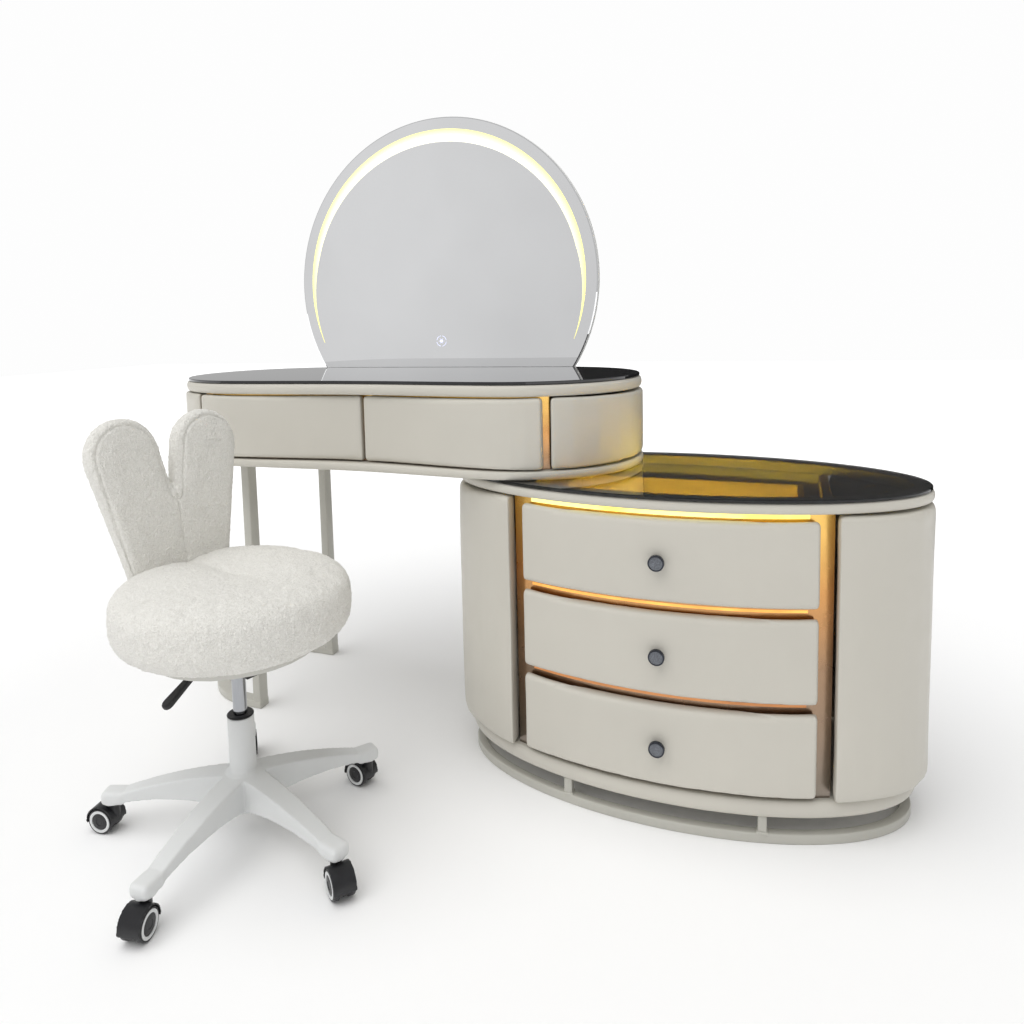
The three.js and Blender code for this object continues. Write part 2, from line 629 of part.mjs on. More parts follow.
function buildSeat() {
  const { radius, bottom, top, edge } = seat;
  const quarter = Math.PI / 2;
  const roundEdge = (z, from) => arc(radius - edge, z, edge, from, from + quarter, 3).map((p) => [p.x, p.y]);
  const side = [...roundEdge(bottom + edge, -quarter), ...roundEdge(top - edge, 0)];
  const profile = [[0, bottom], ...side, [0, top]];
  const cushion = turned(profile, 32);
  const floor = box(-radius, radius, -radius, radius, 0, bottom);
  const back = cut(backrestBody(0), floor);
  place(seatGroup, "seat_cushion", cut(cushion, backrestBody(seatGap)), boucle());
  place(seatGroup, "backrest", back, boucle());
  const disc = cylinder(seatBoard.radius, boardBottom, boardBottom + seatBoard.thickness, 28);
  place(seatGroup, "seat_board", disc, board());
}

function buildSeatMount() {
  const half = seatMount.plate / 2;
  const top = box(-half, half, -half, half, plateBottom, plateTop);
  const w = mountBlock.width / 2;
  const l = mountBlock.length / 2;
  const c = mountBlock.chamfer;
  const blockTop = plateBottom + overcut;
  const section = [[-w + c, blockBottom], [w - c, blockBottom], [w, blockBottom + c], [w, blockTop]];
  section.push([-w, blockTop], [-w, blockBottom + c]);
  const block = uprightPlate(section.map(([x, z]) => new THREE.Vector2(x, z)), -l, l);
  const socketTop = blockBottom + piston.tip + seatGap;
  const socket = cylinder(piston.radius + seatGap, blockBottom - overcut, socketTop, 16);
  const leverZ = (blockBottom + plateBottom) / 2;
  const side = lever.rodRadius + slideGap;
  const inner = w / 2 - slideGap;
  const slotBottom = leverZ - side - lever.slotDrop;
  const leverSlot = box(-w - overcut, -inner, lever.y - side, lever.y + side, slotBottom, leverZ + side);
  place(seatGroup, "seat_mount", cut(join(top, block), socket, leverSlot), blackPlastic());
}

// The height lever: a rod through the block's side towards -X, ending in a flat paddle that droops.
function buildLever() {
  const z = (blockBottom + plateBottom) / 2;
  const start = mountBlock.width / 4;
  const rodEnd = lever.reach - paddle.length;
  const rod = cylinder(lever.rodRadius, start, rodEnd, 12).rotateY(Math.PI / 2);
  const handle = plate(arcedPaddle(), -paddle.thickness / 2, paddle.thickness / 2, paddle.edge, null, 1);
  handle.rotateY(THREE.MathUtils.degToRad(lever.droop)).translate(rodEnd - paddle.lap, 0, 0);
  const geometry = join(rod, handle).rotateZ(Math.PI);
  place(seatGroup, "height_lever", geometry, blackPlastic()).position.set(0, lever.y, z);
}

function arcedPaddle() {
  const half = paddle.width / 2;
  const { length, neck } = paddle;
  const tip = arc(length - half, 0, half, -Math.PI / 2, Math.PI / 2, 6);
  return [new THREE.Vector2(0, -half * neck), ...tip, new THREE.Vector2(0, half * neck)];
}

function buildColumn() {
  const tip = blockBottom + piston.tip;
  const sleeveTop = blockBottom - seatGap;
  const rod = [[0, piston.bottom], [piston.radius, piston.bottom], [piston.radius, piston.sleeveBottom]];
  rod.push([piston.sleeveRadius, piston.sleeveBottom], [piston.sleeveRadius, sleeveTop]);
  rod.push([piston.radius, sleeveTop], [piston.radius, tip], [0, tip]);
  place(seatGroup, "gas_piston", turned(rod, 16), steel());

  const seatZ = column.top + seatGap;
  const endZ = seatZ + bush.flangeHeight;
  const bore = piston.radius + bush.runningGap;
  const body = column.bore - seatGap;
  const low = column.top - bush.depth;
  const ring = [[bore, low], [body, low], [body, seatZ], [bush.flange, seatZ], [bush.flange, endZ]];
  ring.push([bore + bush.lead, endZ], [bore, seatZ], [bore, low]);
  place(stool, "column_bush", turned(ring, 20), blackPlastic());

  const { radius, footRadius, top, bottom, taper } = column;
  const boreBottom = piston.bottom - pistonClearance;
  const tube = [[0, bottom], [footRadius, bottom], [radius, bottom + taper], [radius, top]];
  tube.push([column.bore, top], [column.bore, boreBottom], [0, boreBottom]);
  place(stool, "gas_column", turned(tube, 20), whiteNylon());
}

// ---------------------------------------------------------------- star base and casters

function legAngle(i) {
  return (2 * Math.PI * i) / starBase.legs;
}

function buildStarBase() {
  const { legs, reach, hubRadius, hubFlare, hubTop, hubBottom } = starBase;
  const hubFoot = hubRadius + hubFlare;
  const hub = turned([[0, hubBottom], [hubFoot, hubBottom], [hubRadius, hubTop], [0, hubTop]], 20);
  const { radius, top, bottom, rounding } = starTip;
  const tipProfile = [[0, bottom], [radius, bottom], [radius, top - rounding]];
  tipProfile.push([radius - rounding / 3, top - rounding / 3], [radius - rounding, top], [0, top]);
  const arms = Array.from({ length: legs }, (_, i) => {
    const tip = turned(tipProfile, 14).translate(reach, 0, 0);
    return join(starLegBody(), tip).rotateZ(legAngle(i));
  });
  const sockets = Array.from({ length: legs }, (_, i) => {
    const socket = cylinder(hood.stemRadius + seatGap, 0, bottom + hood.stemLength + seatGap, 10);
    return socket.translate(reach, 0, 0).rotateZ(legAngle(i));
  });
  const foot = column.footRadius + seatGap;
  const body = column.radius + seatGap;
  const boreProfile = [[0, 0], [foot, 0], [foot, column.bottom], [body, column.bottom + column.taper]];
  const bore = turned([...boreProfile, [body, column.top], [0, column.top]], 20);
  const mesh = place(stool, "star_base", cut(join(hub, ...arms), bore, ...sockets), whiteNylon());
  mesh.rotation.z = THREE.MathUtils.degToRad(starBase.phase);
}

// One leg along X: an arched side profile, narrowed in plan towards the tip.
function starLegBody() {
  const { rootWidth, tipWidth } = starLeg;
  const { rootTop, crown, tipTop, rootBottom, arch } = starCurve;
  const { reach, hubRadius } = starBase;
  const start = hubRadius / 3;
  const halfway = reach / 2;
  const at = (x, z) => new THREE.Vector2(x, z);
  const top = new THREE.QuadraticBezierCurve(at(start, rootTop), at(halfway, crown), at(reach, tipTop));
  const tipLow = at(reach, starTip.bottom);
  const low = new THREE.QuadraticBezierCurve(tipLow, at(halfway, arch), at(start, rootBottom));
  const side = uprightPlate([...top.getPoints(6), ...low.getPoints(6)], -rootWidth, rootWidth);
  const root = rootWidth / 2;
  const tip = tipWidth / 2;
  const taper = [at(start, -root), at(reach, -tip), at(reach, tip), at(start, root)];
  return common(side, plate(taper, 0, 2 * rootTop));
}

// A twin-wheel caster about its own stem: the axle trails along +X by caster.trail.
function buildCaster(number, holder) {
  const { wheelRadius, wheelWidth, spacing, tread, axleRadius, trail } = caster;
  const halfWidth = spacing / 2 + wheelWidth;
  const past = halfWidth + overcut;
  const onAxle = (geometry) => geometry.rotateX(Math.PI / 2).translate(trail, 0, wheelRadius);

  const wheel = (from) => {
    const to = from + wheelWidth;
    const profile = [[0, from], [wheelRadius - tread, from], [wheelRadius, from + tread]];
    profile.push([wheelRadius, to - tread], [wheelRadius - tread, to], [0, to]);
    return turned(profile, 16);
  };
  const axle = cylinder(axleRadius, -spacing / 2 - overcut, spacing / 2 + overcut, 10);
  const wheels = onAxle(join(wheel(spacing / 2), wheel(-halfWidth), axle));
  place(holder, "caster_" + number + "_wheels", wheels, blackPlastic());

  const inner = wheelRadius + hood.gap;
  const outer = inner + hood.thickness;
  const clear = outer + overcut;
  const belowSkirt = box(-clear, clear, -clear, -hood.skirt, -past, past);
  const hollow = cylinder(inner, -past, past, 16);
  const cover = cut(cylinder(outer, -halfWidth, halfWidth, 16), hollow, belowSkirt);
  const rounded = cylinder(inner + overcut, -hood.web / 2, hood.web / 2, 16);
  const belowAxle = box(-outer, outer, -outer, -2 * axleRadius, -hood.web, hood.web);
  const axleHole = cylinder(axleRadius + slideGap, -past, past, 10);
  const shroud = onAxle(cut(join(cover, cut(rounded, belowAxle)), axleHole));

  const neckTop = starTip.bottom - seatGap;
  const neck = cylinder(hood.neckRadius, wheelRadius, neckTop, 12);
  const stem = cylinder(hood.stemRadius, neckTop - overcut, starTip.bottom + hood.stemLength, 10);
  const webSpace = cylinder(inner + overcut, -hood.web / 2, hood.web / 2, 16);
  const wheelSpace = onAxle(cut(cylinder(inner, -past, past, 16), webSpace));
  const fork = join(shroud, cut(join(neck, stem), wheelSpace));
  place(holder, "caster_" + number + "_fork", fork, blackPlastic());
}

function buildCasters() {
  const phase = THREE.MathUtils.degToRad(starBase.phase);
  casterHeadings.forEach((heading, i) => {
    const holder = new THREE.Group();
    const angle = phase + legAngle(i);
    holder.position.set(starBase.reach * Math.cos(angle), starBase.reach * Math.sin(angle), 0);
    holder.rotation.z = THREE.MathUtils.degToRad(heading);
    stool.add(holder);
    buildCaster(i + 1, holder);
  });
}

// ---------------------------------------------------------------- assembly

buildBaseFrame();
buildPlinth();
buildSideShell("left_side_shell", -1);
buildSideShell("right_side_shell", 1);
buildCabinetBack();
buildPartition("left_partition", -1);
buildPartition("right_partition", 1);
buildFaceFrame();
buildCabinetRim();
buildCabinetGlass();
buildCabinetLight();
for (let i = 0; i < drawerCount; i++) buildCabinetDrawer(i);

const centreHalf = deskDrawer.split / 2;
const leftOpening = {
  x0: deskDrawer.leftX + deskFrame.sideCover,
  x1: deskDrawer.dividerX - centreHalf - deskFrame.cover,
};
const rightOpening = {
  x0: deskDrawer.dividerX + centreHalf + deskFrame.cover,
  x1: deskDrawer.rightX - deskFrame.sideCover,
};
buildDeskTopAndBase();
buildDeskEnd("desk_left_end", -1, leftEndX);
buildDeskEnd("desk_right_end", 1, rightEndX);
buildDeskBack();
buildDeskFrame([leftOpening, rightOpening]);
buildDeskDivider();
buildDeskDrawer("left_desk_drawer", deskDrawer.leftX, deskDrawer.dividerX - centreHalf, leftOpening);
buildDeskDrawer("right_desk_drawer", deskDrawer.dividerX + centreHalf, deskDrawer.rightX, rightOpening);
buildLegFrame();
buildMirror();

buildSeat();
buildSeatMount();
buildLever();
buildColumn();
buildStarBase();
buildCasters();

const bounds = new THREE.Box3().setFromObject(set, true);
const middle = bounds.getCenter(new THREE.Vector3());
set.position.set(-middle.x, -middle.y, 0);

const group = new THREE.Group();
group.add(set);

export default group;
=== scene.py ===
"""Looks of the dressing-table set: oval cabinet, kidney desk, lit round mirror and bouclé swivel stool.

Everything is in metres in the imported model's frame: +Z up, drawers open towards -Y, floor at z = 0.
"""

import json
import math

import bmesh
import bpy
import numpy as np
from mathutils import Matrix, Vector, noise


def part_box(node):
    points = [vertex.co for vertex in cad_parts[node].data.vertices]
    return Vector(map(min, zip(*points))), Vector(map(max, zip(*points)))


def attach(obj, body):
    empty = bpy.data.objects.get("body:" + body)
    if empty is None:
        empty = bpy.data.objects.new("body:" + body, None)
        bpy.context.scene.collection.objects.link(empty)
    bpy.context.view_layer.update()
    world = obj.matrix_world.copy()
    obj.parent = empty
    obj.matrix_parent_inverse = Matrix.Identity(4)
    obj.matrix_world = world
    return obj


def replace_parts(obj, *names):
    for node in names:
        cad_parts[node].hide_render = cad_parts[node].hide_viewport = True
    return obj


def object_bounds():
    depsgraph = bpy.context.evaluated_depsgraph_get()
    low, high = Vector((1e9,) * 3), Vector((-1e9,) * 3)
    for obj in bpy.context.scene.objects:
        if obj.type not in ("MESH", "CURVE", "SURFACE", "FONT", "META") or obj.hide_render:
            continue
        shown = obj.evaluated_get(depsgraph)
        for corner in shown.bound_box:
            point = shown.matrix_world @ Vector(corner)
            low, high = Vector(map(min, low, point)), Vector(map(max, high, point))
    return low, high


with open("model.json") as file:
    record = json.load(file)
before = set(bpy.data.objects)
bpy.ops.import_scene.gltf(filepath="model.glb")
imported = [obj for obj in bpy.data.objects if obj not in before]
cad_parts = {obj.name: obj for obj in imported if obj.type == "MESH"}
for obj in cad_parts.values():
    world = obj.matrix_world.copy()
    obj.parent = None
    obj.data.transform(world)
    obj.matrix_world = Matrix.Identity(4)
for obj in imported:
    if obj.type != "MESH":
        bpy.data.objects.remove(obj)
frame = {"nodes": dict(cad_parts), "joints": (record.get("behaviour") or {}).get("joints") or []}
cad_low, cad_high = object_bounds()
nodes = frame["nodes"]
joints = {joint["name"]: joint for joint in frame["joints"]}

# ---- sizes that the frame doesn't give

RIM_WIDTH = 0.034  # cabinet rim, from its outer to its inner edge
DESK_RIM_WIDTH = 0.036
RIM_INSET = 0.003  # how far the padded panels stand out past the rims
RING_WIDTH = 0.017  # bar of the cabinet's base ring
LEG_BAR_WIDTH, LEG_BAR_HEIGHT, LEG_POST_WIDTH = 0.030, 0.018, 0.020
GLASS_BEVEL = 0.0012
MIRROR_BEVEL = 0.0025
MIRROR_EDGE = 0.0016  # how deep the bevel of the mirror reaches into the glass
CRESCENT_TOP, CRESCENT_SIDE = 0.029, 0.011  # the lit crescent's width at its top and at its sides
CRESCENT_PROUD = 0.0004  # how far the lit crescent stands out from the mirror's face
CASE_DEPTH, CASE_SOFT = 0.012, 0.003  # the mirror's case and its rounded rear edge
STRAP_HALF, STRAP_X, STRAP_RISE = 0.020, 0.150, 0.060  # the straps that hold the mirror to the desk
SWELL_FRAMES = 20  # steps of the cloth simulation
CAMERA_PLACE = (0.18978, -1.45112, 0.85029)  # X and Y from the cabinet glass's middle, Z from the floor
CAMERA_TURN = (21.87, 5.66, -1.47)  # yaw, pitch and roll in degrees
EAR_RADIUS, EAR_X, EAR_RISE, EAR_NOTCH, EAR_FOOT = 0.064, 0.080, 0.303, 0.227, 0.074
EAR_LEAN = 8  # degrees that the back leans away from the seat
EAR_SEAM = 0.011  # from the back's edge to the seam of its front panel
SEAT_SQUARENESS = 3.4  # 2 is an ellipse in section, more is squarer
TIP_WIDTH = 0.033  # the block at the end of each leg of the base
WHEEL_WIDTH = 0.0125
WHEEL_SPACING = 0.011
GAP_GLOW_END = 0.014  # from the end of a drawer front to the end of the painted glow strip below it
HOOD_GAP, HOOD_THICKNESS = 0.0012, 0.002
ROUND_STEPS = 192  # points round an oval

# ---- meshes


def linked(name, data):
    """A new object in the scene."""
    made = bpy.data.objects.new(name, data)
    bpy.context.scene.collection.objects.link(made)
    return made


def add_object(name, mesh, material, body):
    """A new piece with its material, riding on its body."""
    piece = linked(name, mesh)
    mesh.materials.clear()
    mesh.materials.append(material)
    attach(piece, body)
    return piece


def shade_by_angle(mesh, degrees=35):
    """Smooth shading, with edges sharper than the angle kept crisp."""
    mesh.polygons.foreach_set("use_smooth", [True] * len(mesh.polygons))
    mesh.set_sharp_from_angle(angle=math.radians(degrees))


def mesh_from(name, points, faces, degrees=35):
    mesh = bpy.data.meshes.new(name)
    mesh.from_pydata([tuple(p) for p in points], [], faces)
    work = bmesh.new()
    work.from_mesh(mesh)
    bmesh.ops.recalc_face_normals(work, faces=work.faces)
    work.to_mesh(mesh)
    work.free()
    shade_by_angle(mesh, degrees)
    return mesh


def loft(name, rings, looped=False, degrees=35):
    """A closed skin through rings of equal length. A looped one joins its last ring to its first."""
    count = len(rings[0])
    points = [p for ring in rings for p in ring]
    faces = []
    spans = len(rings) if looped else len(rings) - 1
    for i in range(spans):
        near, far = i * count, ((i + 1) % len(rings)) * count
        for j in range(count):
            k = (j + 1) % count
            faces.append((near + j, near + k, far + k, far + j))
    if not looped:
        faces.append(tuple(range(count)))
        faces.append(tuple(range((len(rings) - 1) * count, len(rings) * count)))
    return mesh_from(name, points, faces, degrees)


def merged(name, meshes):
    """Several meshes as one."""
    work = bmesh.new()
    for mesh in meshes:
        work.from_mesh(mesh)
    whole = bpy.data.meshes.new(name)
    work.to_mesh(whole)
    work.free()
    shade_by_angle(whole)
    return whole


def rounded_box(name, low, high, radius):
    """A box with rounded edges."""
    work = bmesh.new()
    bmesh.ops.create_cube(work, size=1)
    size = Vector(high) - Vector(low)
    middle = (Vector(high) + Vector(low)) / 2
    bmesh.ops.scale(work, vec=size, verts=work.verts)
    bmesh.ops.bevel(work, geom=work.edges[:], offset=radius, segments=3, profile=0.5, affect="EDGES")
    bmesh.ops.translate(work, vec=middle, verts=work.verts)
    mesh = bpy.data.meshes.new(name)
    work.to_mesh(mesh)
    work.free()
    shade_by_angle(mesh)
    return mesh


def lathe(name, profile, origin, axis, steps=64, looped=False):
    """A body of revolution from (radius, height) pairs, its heights measured along the axis from origin."""
    turn = Vector((0, 0, 1)).rotation_difference(Vector(axis).normalized())
    rings = []
    for radius, height in profile:
        ring = []
        for i in range(steps):
            angle = 2 * math.pi * i / steps
            local = Vector((radius * math.cos(angle), radius * math.sin(angle), height))
            ring.append(Vector(origin) + turn @ local)
        rings.append(ring)
    return loft(name, rings, looped)


def arc(cx, cy, radius, start, end, steps):
    """Points on a circle in a plane, as (x, y), from one angle in degrees to another."""
    angles = [math.radians(start + (end - start) * i / steps) for i in range(steps + 1)]
    return [(cx + radius * math.cos(a), cy + radius * math.sin(a)) for a in angles]


# ---- plan outlines


class Oval:
    """The cabinet's plan outline at one node: an ellipse that fills the node's box."""

    def __init__(self, node):
        low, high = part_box(node)
        self.x, self.y = (low.x + high.x) / 2, (low.y + high.y) / 2
        self.a, self.b = (high.x - low.x) / 2, (high.y - low.y) / 2
        self.low, self.high = low.z, high.z

    def ring(self, inset, z, steps=ROUND_STEPS):
        angles = [2 * math.pi * i / steps for i in range(steps)]
        a, b = self.a - inset, self.b - inset
        return [Vector((self.x + a * math.cos(t), self.y + b * math.sin(t), z)) for t in angles]


class Kidney:
    """The desk's plan outline at one node: two round ends, a straight back and a hollow front."""

    def __init__(self, node):
        low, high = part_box(node)
        self.x, self.y = (low.x + high.x) / 2, (low.y + high.y) / 2
        self.radius = (high.y - low.y) / 2
        self.flat = (high.x - low.x) / 2 - self.radius
        near = [v.co.y for v in nodes[node].data.vertices if abs(v.co.x - self.x) < self.flat / 2]
        self.hollow = min(near) - low.y
        self.low, self.high = low.z, high.z

    def ring(self, inset, z, end_steps=56, front_steps=60, back_steps=20):
        radius = self.radius - inset
        right = arc(self.flat, 0, radius, -90, 90, end_steps)
        back = [(self.flat - 2 * self.flat * i / back_steps, radius) for i in range(1, back_steps)]
        left = arc(-self.flat, 0, radius, 90, 270, end_steps)
        front = []
        for i in range(1, front_steps):
            x = -self.flat + 2 * self.flat * i / front_steps
            dip = self.hollow * (0.5 + 0.5 * math.cos(math.pi * x / self.flat))
            front.append((x, dip - radius))
        return [Vector((self.x + x, self.y + y, z)) for x, y in right + back + left + front]


# ---- materials


class Recipe:
    """A node material on a Principled shader, built step by step."""

    def __init__(self, name, colour, roughness, metallic=0.0):
        self.material = bpy.data.materials.new(name)
        self.material.use_nodes = True
        self.tree = self.material.node_tree
        self.shader = self.tree.nodes["Principled BSDF"]
        self.colour = colour
        self.put("Base Color", (*colour, 1))
        self.put("Roughness", roughness)
        self.put("Metallic", metallic)
        coordinates = self.tree.nodes.new("ShaderNodeTexCoord")
        self.place = coordinates.outputs["Object"]
        self.height = None

    def put(self, socket, value):
        self.shader.inputs[socket].default_value = value
        return self

    def node(self, kind, inputs=None, **settings):
        made = self.tree.nodes.new(kind)
        for key, value in settings.items():
            setattr(made, key, value)
        for key, value in (inputs or {}).items():
            if isinstance(value, bpy.types.NodeSocket):
                self.tree.links.new(value, made.inputs[key])
            else:
                made.inputs[key].default_value = value
        return made

    def stretched(self, scale):
        """Object coordinates, stretched by three factors."""
        return self.node("ShaderNodeMapping", {"Vector": self.place, "Scale": scale}).outputs[0]

    def cloudy(self, scale, detail=3.0, rough=0.5, where=None):
        inputs = {"Vector": where or self.place, "Scale": scale, "Detail": detail, "Roughness": rough}
        return self.node("ShaderNodeTexNoise", inputs).outputs["Fac"]

    def cells(self, scale):
        inputs = {"Vector": self.place, "Scale": scale}
        return self.node("ShaderNodeTexVoronoi", inputs).outputs["Distance"]

    def remap(self, value, low, high, to_low, to_high):
        inputs = {"Value": value, 1: low, 2: high, 3: to_low, 4: to_high}
        return self.node("ShaderNodeMapRange", inputs).outputs[0]

    def shades(self, value, stops):
        """A colour ramp over value, from (position, colour) stops."""
        made = self.node("ShaderNodeValToRGB", {"Fac": value})
        ramp = made.color_ramp
        while len(ramp.elements) < len(stops):
            ramp.elements.new(0.5)
        for element, (position, colour) in zip(ramp.elements, stops):
            element.position = position
            element.color = (*colour, 1)
        return made.outputs["Color"]

    def tint(self, value, spread):
        """Varies the base colour by spread, up and down, with value."""
        dark = tuple(c * (1 - spread) for c in self.colour)
        light = tuple(min(1, c * (1 + spread)) for c in self.colour)
        self.feed("Base Color", self.shades(value, [(0.3, dark), (0.7, light)]))
        return self

    def feed(self, socket, value):
        self.tree.links.new(value, self.shader.inputs[socket])
        return self

    def roughen(self, value, low, high):
        """Roughness that goes from low to high with value."""
        return self.feed("Roughness", self.remap(value, 0.3, 0.7, low, high))

    def bump(self, value, strength, distance):
        inputs = {"Height": value, "Strength": strength, "Distance": distance}
        if self.height:
            inputs["Normal"] = self.height
        self.height = self.node("ShaderNodeBump", inputs).outputs["Normal"]
        return self.feed("Normal", self.height)


def leatherette():
    look = Recipe("leatherette", (0.60, 0.575, 0.51), 0.42)
    look.tint(look.cloudy(4, 4), 0.03)
    look.roughen(look.cloudy(35, 4), 0.36, 0.48)
    look.bump(look.cells(850), 0.35, 0.00025)
    look.bump(look.cloudy(28, 3), 0.25, 0.0012)
    look.put("Coat Weight", 0.12).put("Coat Roughness", 0.35)
    return look.material


def boucle():
    look = Recipe("boucle", (0.90, 0.885, 0.835), 0.95)
    curl = {"Vector": look.place, "Scale": 330, "Detail": 2, "Distortion": 2.2}
    loops = look.node("ShaderNodeTexNoise", curl).outputs["Fac"]
    look.feed("Base Color", look.shades(loops, [(0.3, (0.78, 0.76, 0.70)), (0.55, (0.93, 0.915, 0.865))]))
    look.bump(loops, 0.7, 0.003)
    look.bump(look.cells(520), 0.4, 0.001)
    look.put("Sheen Weight", 0.3).put("Sheen Roughness", 0.5)
    return look.material


def painted_steel():
    look = Recipe("painted_steel", (0.50, 0.49, 0.44), 0.38)
    look.tint(look.cloudy(9, 3), 0.035)
    look.roughen(look.cloudy(60, 3), 0.3, 0.46)
    look.bump(look.cloudy(420, 2), 0.18, 0.0004)
    look.put("Coat Weight", 0.25).put("Coat Roughness", 0.25)
    return look.material


def bronze(low, high):
    """Glossy bronze whose colour goes from brown at height low to gold at height high: painted light, gold
    where the lamp strip lights the top and brown in the shade below.
    """
    look = Recipe("bronze", (0.62, 0.36, 0.16), 0.24, 1.0)
    axes = look.node("ShaderNodeSeparateXYZ", {"Vector": look.place})
    # painted light: the colour follows height, standing in for lamp light above and shade below
    level = look.remap(axes.outputs["Z"], low, high, 0, 1)
    stops = [(0.0, (0.26, 0.225, 0.19)), (0.45, (0.42, 0.27, 0.17)), (0.72, (0.72, 0.36, 0.13))]
    look.feed("Base Color", look.shades(level, [*stops, (1.0, (0.98, 0.62, 0.17))]))
    clouded = look.cloudy(30, 4)
    look.roughen(clouded, 0.16, 0.30)
    look.bump(look.cloudy(260, 2), 0.05, 0.0002)
    return look.material


def tinted_glass():
    look = Recipe("tinted_glass", (0.26, 0.255, 0.25), 0.02)
    smears = look.cloudy(14, 4)
    look.tint(smears, 0.06)
    look.feed("Roughness", look.remap(smears, 0.35, 0.75, 0.008, 0.03))
    look.put("Transmission Weight", 1.0).put("IOR", 1.5)
    return look.material


def desk_glass():
    """The same glass on the desk, where only unlit board lies under it: opaque and nearly black, the glass's
    tint and the painted shade of the desk's inside in one colour.
    """
    # near-black base colour: the tint plus painted shade of the unlit inside, instead of seeing through
    look = Recipe("desk_glass", (0.012, 0.012, 0.014), 0.03)
    smears = look.cloudy(14, 4)
    look.feed("Roughness", look.remap(smears, 0.35, 0.75, 0.015, 0.05))
    look.tint(smears, 0.2)
    look.put("IOR", 1.52).put("Coat Weight", 0.4).put("Coat Roughness", 0.02)
    return look.material


def board():
    look = Recipe("board", (0.62, 0.50, 0.33), 0.55)
    grain = look.cloudy(8, 6, where=look.stretched((1.5, 18, 18)))
    look.feed("Base Color", look.shades(grain, [(0.3, (0.50, 0.39, 0.24)), (0.7, (0.68, 0.55, 0.37))]))
    look.bump(grain, 0.15, 0.0005)
    return look.material


def steel():
    look = Recipe("zinc_steel", (0.56, 0.57, 0.59), 0.35, 1.0)
    streaks = look.cloudy(30, 4, where=look.stretched((1, 20, 20)))
    look.tint(streaks, 0.08)
    look.roughen(streaks, 0.25, 0.45)
    return look.material


def knob_face():
    look = Recipe("knob_face", (0.17, 0.18, 0.20), 0.42, 0.9)
    grain = look.cells(900)
    look.tint(grain, 0.35)
    look.roughen(look.cloudy(300, 2), 0.36, 0.5)
    look.bump(grain, 0.4, 0.0003)
    return look.material


def knob_ring():
    look = Recipe("knob_ring", (0.055, 0.06, 0.075), 0.3, 0.9)
    turned = look.cloudy(120, 3)
    look.tint(turned, 0.15)
    look.roughen(turned, 0.24, 0.36)
    return look.material


def silvering():
    look = Recipe("silvering", (0.95, 0.955, 0.965), 0.02, 1.0)
    haze = look.cloudy(6, 3)
    look.tint(haze, 0.012)
    look.roughen(haze, 0.012, 0.03)
    return look.material


def white_plastic(name, colour, rough):
    look = Recipe(name, colour, rough)
    look.tint(look.cloudy(12, 3), 0.02)
    look.roughen(look.cloudy(90, 3), rough - 0.06, rough + 0.06)
    look.bump(look.cloudy(700, 2), 0.12, 0.0002)
    return look.material


def black_plastic():
    look = Recipe("black_plastic", (0.013, 0.013, 0.015), 0.38)
    look.tint(look.cloudy(60, 3), 0.25)
    look.roughen(look.cloudy(200, 3), 0.3, 0.46)
    look.bump(look.cloudy(900, 2), 0.2, 0.0002)
    return look.material


def polished_rod():
    look = Recipe("polished_rod", (0.40, 0.41, 0.43), 0.2, 1.0)
    streaks = look.cloudy(160, 3, where=look.stretched((6, 6, 0.3)))
    look.tint(streaks, 0.08)
    look.roughen(streaks, 0.14, 0.26)
    return look.material


def crescent_glow(centre, outer, width):
    """The mirror's diffuser: yellow along its outer edge, nearly white along its inner one."""
    look = Recipe("mirror_lamp", (1.0, 0.95, 0.6), 0.4)
    apart = look.node("ShaderNodeVectorMath", {0: look.place, 1: centre}, operation="DISTANCE")
    away = apart.outputs["Value"]
    across = look.remap(away, outer - width, outer, 0, 1)
    stops = [(0.0, (1.0, 0.98, 0.80)), (0.45, (0.98, 0.96, 0.62)), (1.0, (0.90, 0.84, 0.28))]
    tone = look.shades(across, stops)
    look.feed("Emission Color", tone)
    look.feed("Base Color", tone)
    look.roughen(look.cloudy(80, 2), 0.3, 0.5)
    look.put("Emission Strength", 0.9)
    return look.material


def glow(name, core, edge, strength):
    """A glowing strip, a little uneven along its length. As a lamp it is a lit diffuser, uneven where its
    diodes are; in the drawer gaps it is painted light.
    """
    look = Recipe(name, core, 0.4)
    uneven = look.shades(look.cloudy(16, 2), [(0.35, edge), (0.6, core)])
    look.feed("Base Color", uneven)
    look.feed("Emission Color", uneven)
    look.put("Emission Strength", strength)
    return look.material


# ---- padded pieces


def coordinates(mesh):
    flat = np.empty(len(mesh.vertices) * 3)
    mesh.vertices.foreach_get("co", flat)
    return flat.reshape(-1, 3)


def normals(mesh):
    flat = np.empty(len(mesh.vertices) * 3)
    mesh.vertex_normals.foreach_get("vector", flat)
    return flat.reshape(-1, 3)


def settle(mesh, points):
    mesh.vertices.foreach_set("co", points.ravel())
    mesh.update()


def evened(name, sources, voxel, smoothing, draw_in=0.0):
    """CAD nodes and meshes joined in one finely and evenly meshed skin, smoothed and drawn in a little."""
    work = bmesh.new()
    for source in sources:
        work.from_mesh(nodes[source].data if isinstance(source, str) else source)
    mesh = bpy.data.meshes.new(name)
    work.to_mesh(mesh)
    work.free()
    mesh.materials.clear()
    holder = linked(name, mesh)
    even = holder.modifiers.new("even", "REMESH")
    even.mode = "VOXEL"
    even.voxel_size = voxel
    soften = holder.modifiers.new("soften", "SMOOTH")
    soften.factor = 0.5
    soften.iterations = smoothing
    skin = baked(holder)
    if draw_in:
        settle(skin, coordinates(skin) - draw_in * normals(skin))
    return skin


def baked(holder):
    """The holder's mesh with its modifiers applied. The holder is removed."""
    graph = bpy.context.evaluated_depsgraph_get()
    skin = bpy.data.meshes.new_from_object(holder.evaluated_get(graph))
    bpy.data.objects.remove(holder)
    return skin


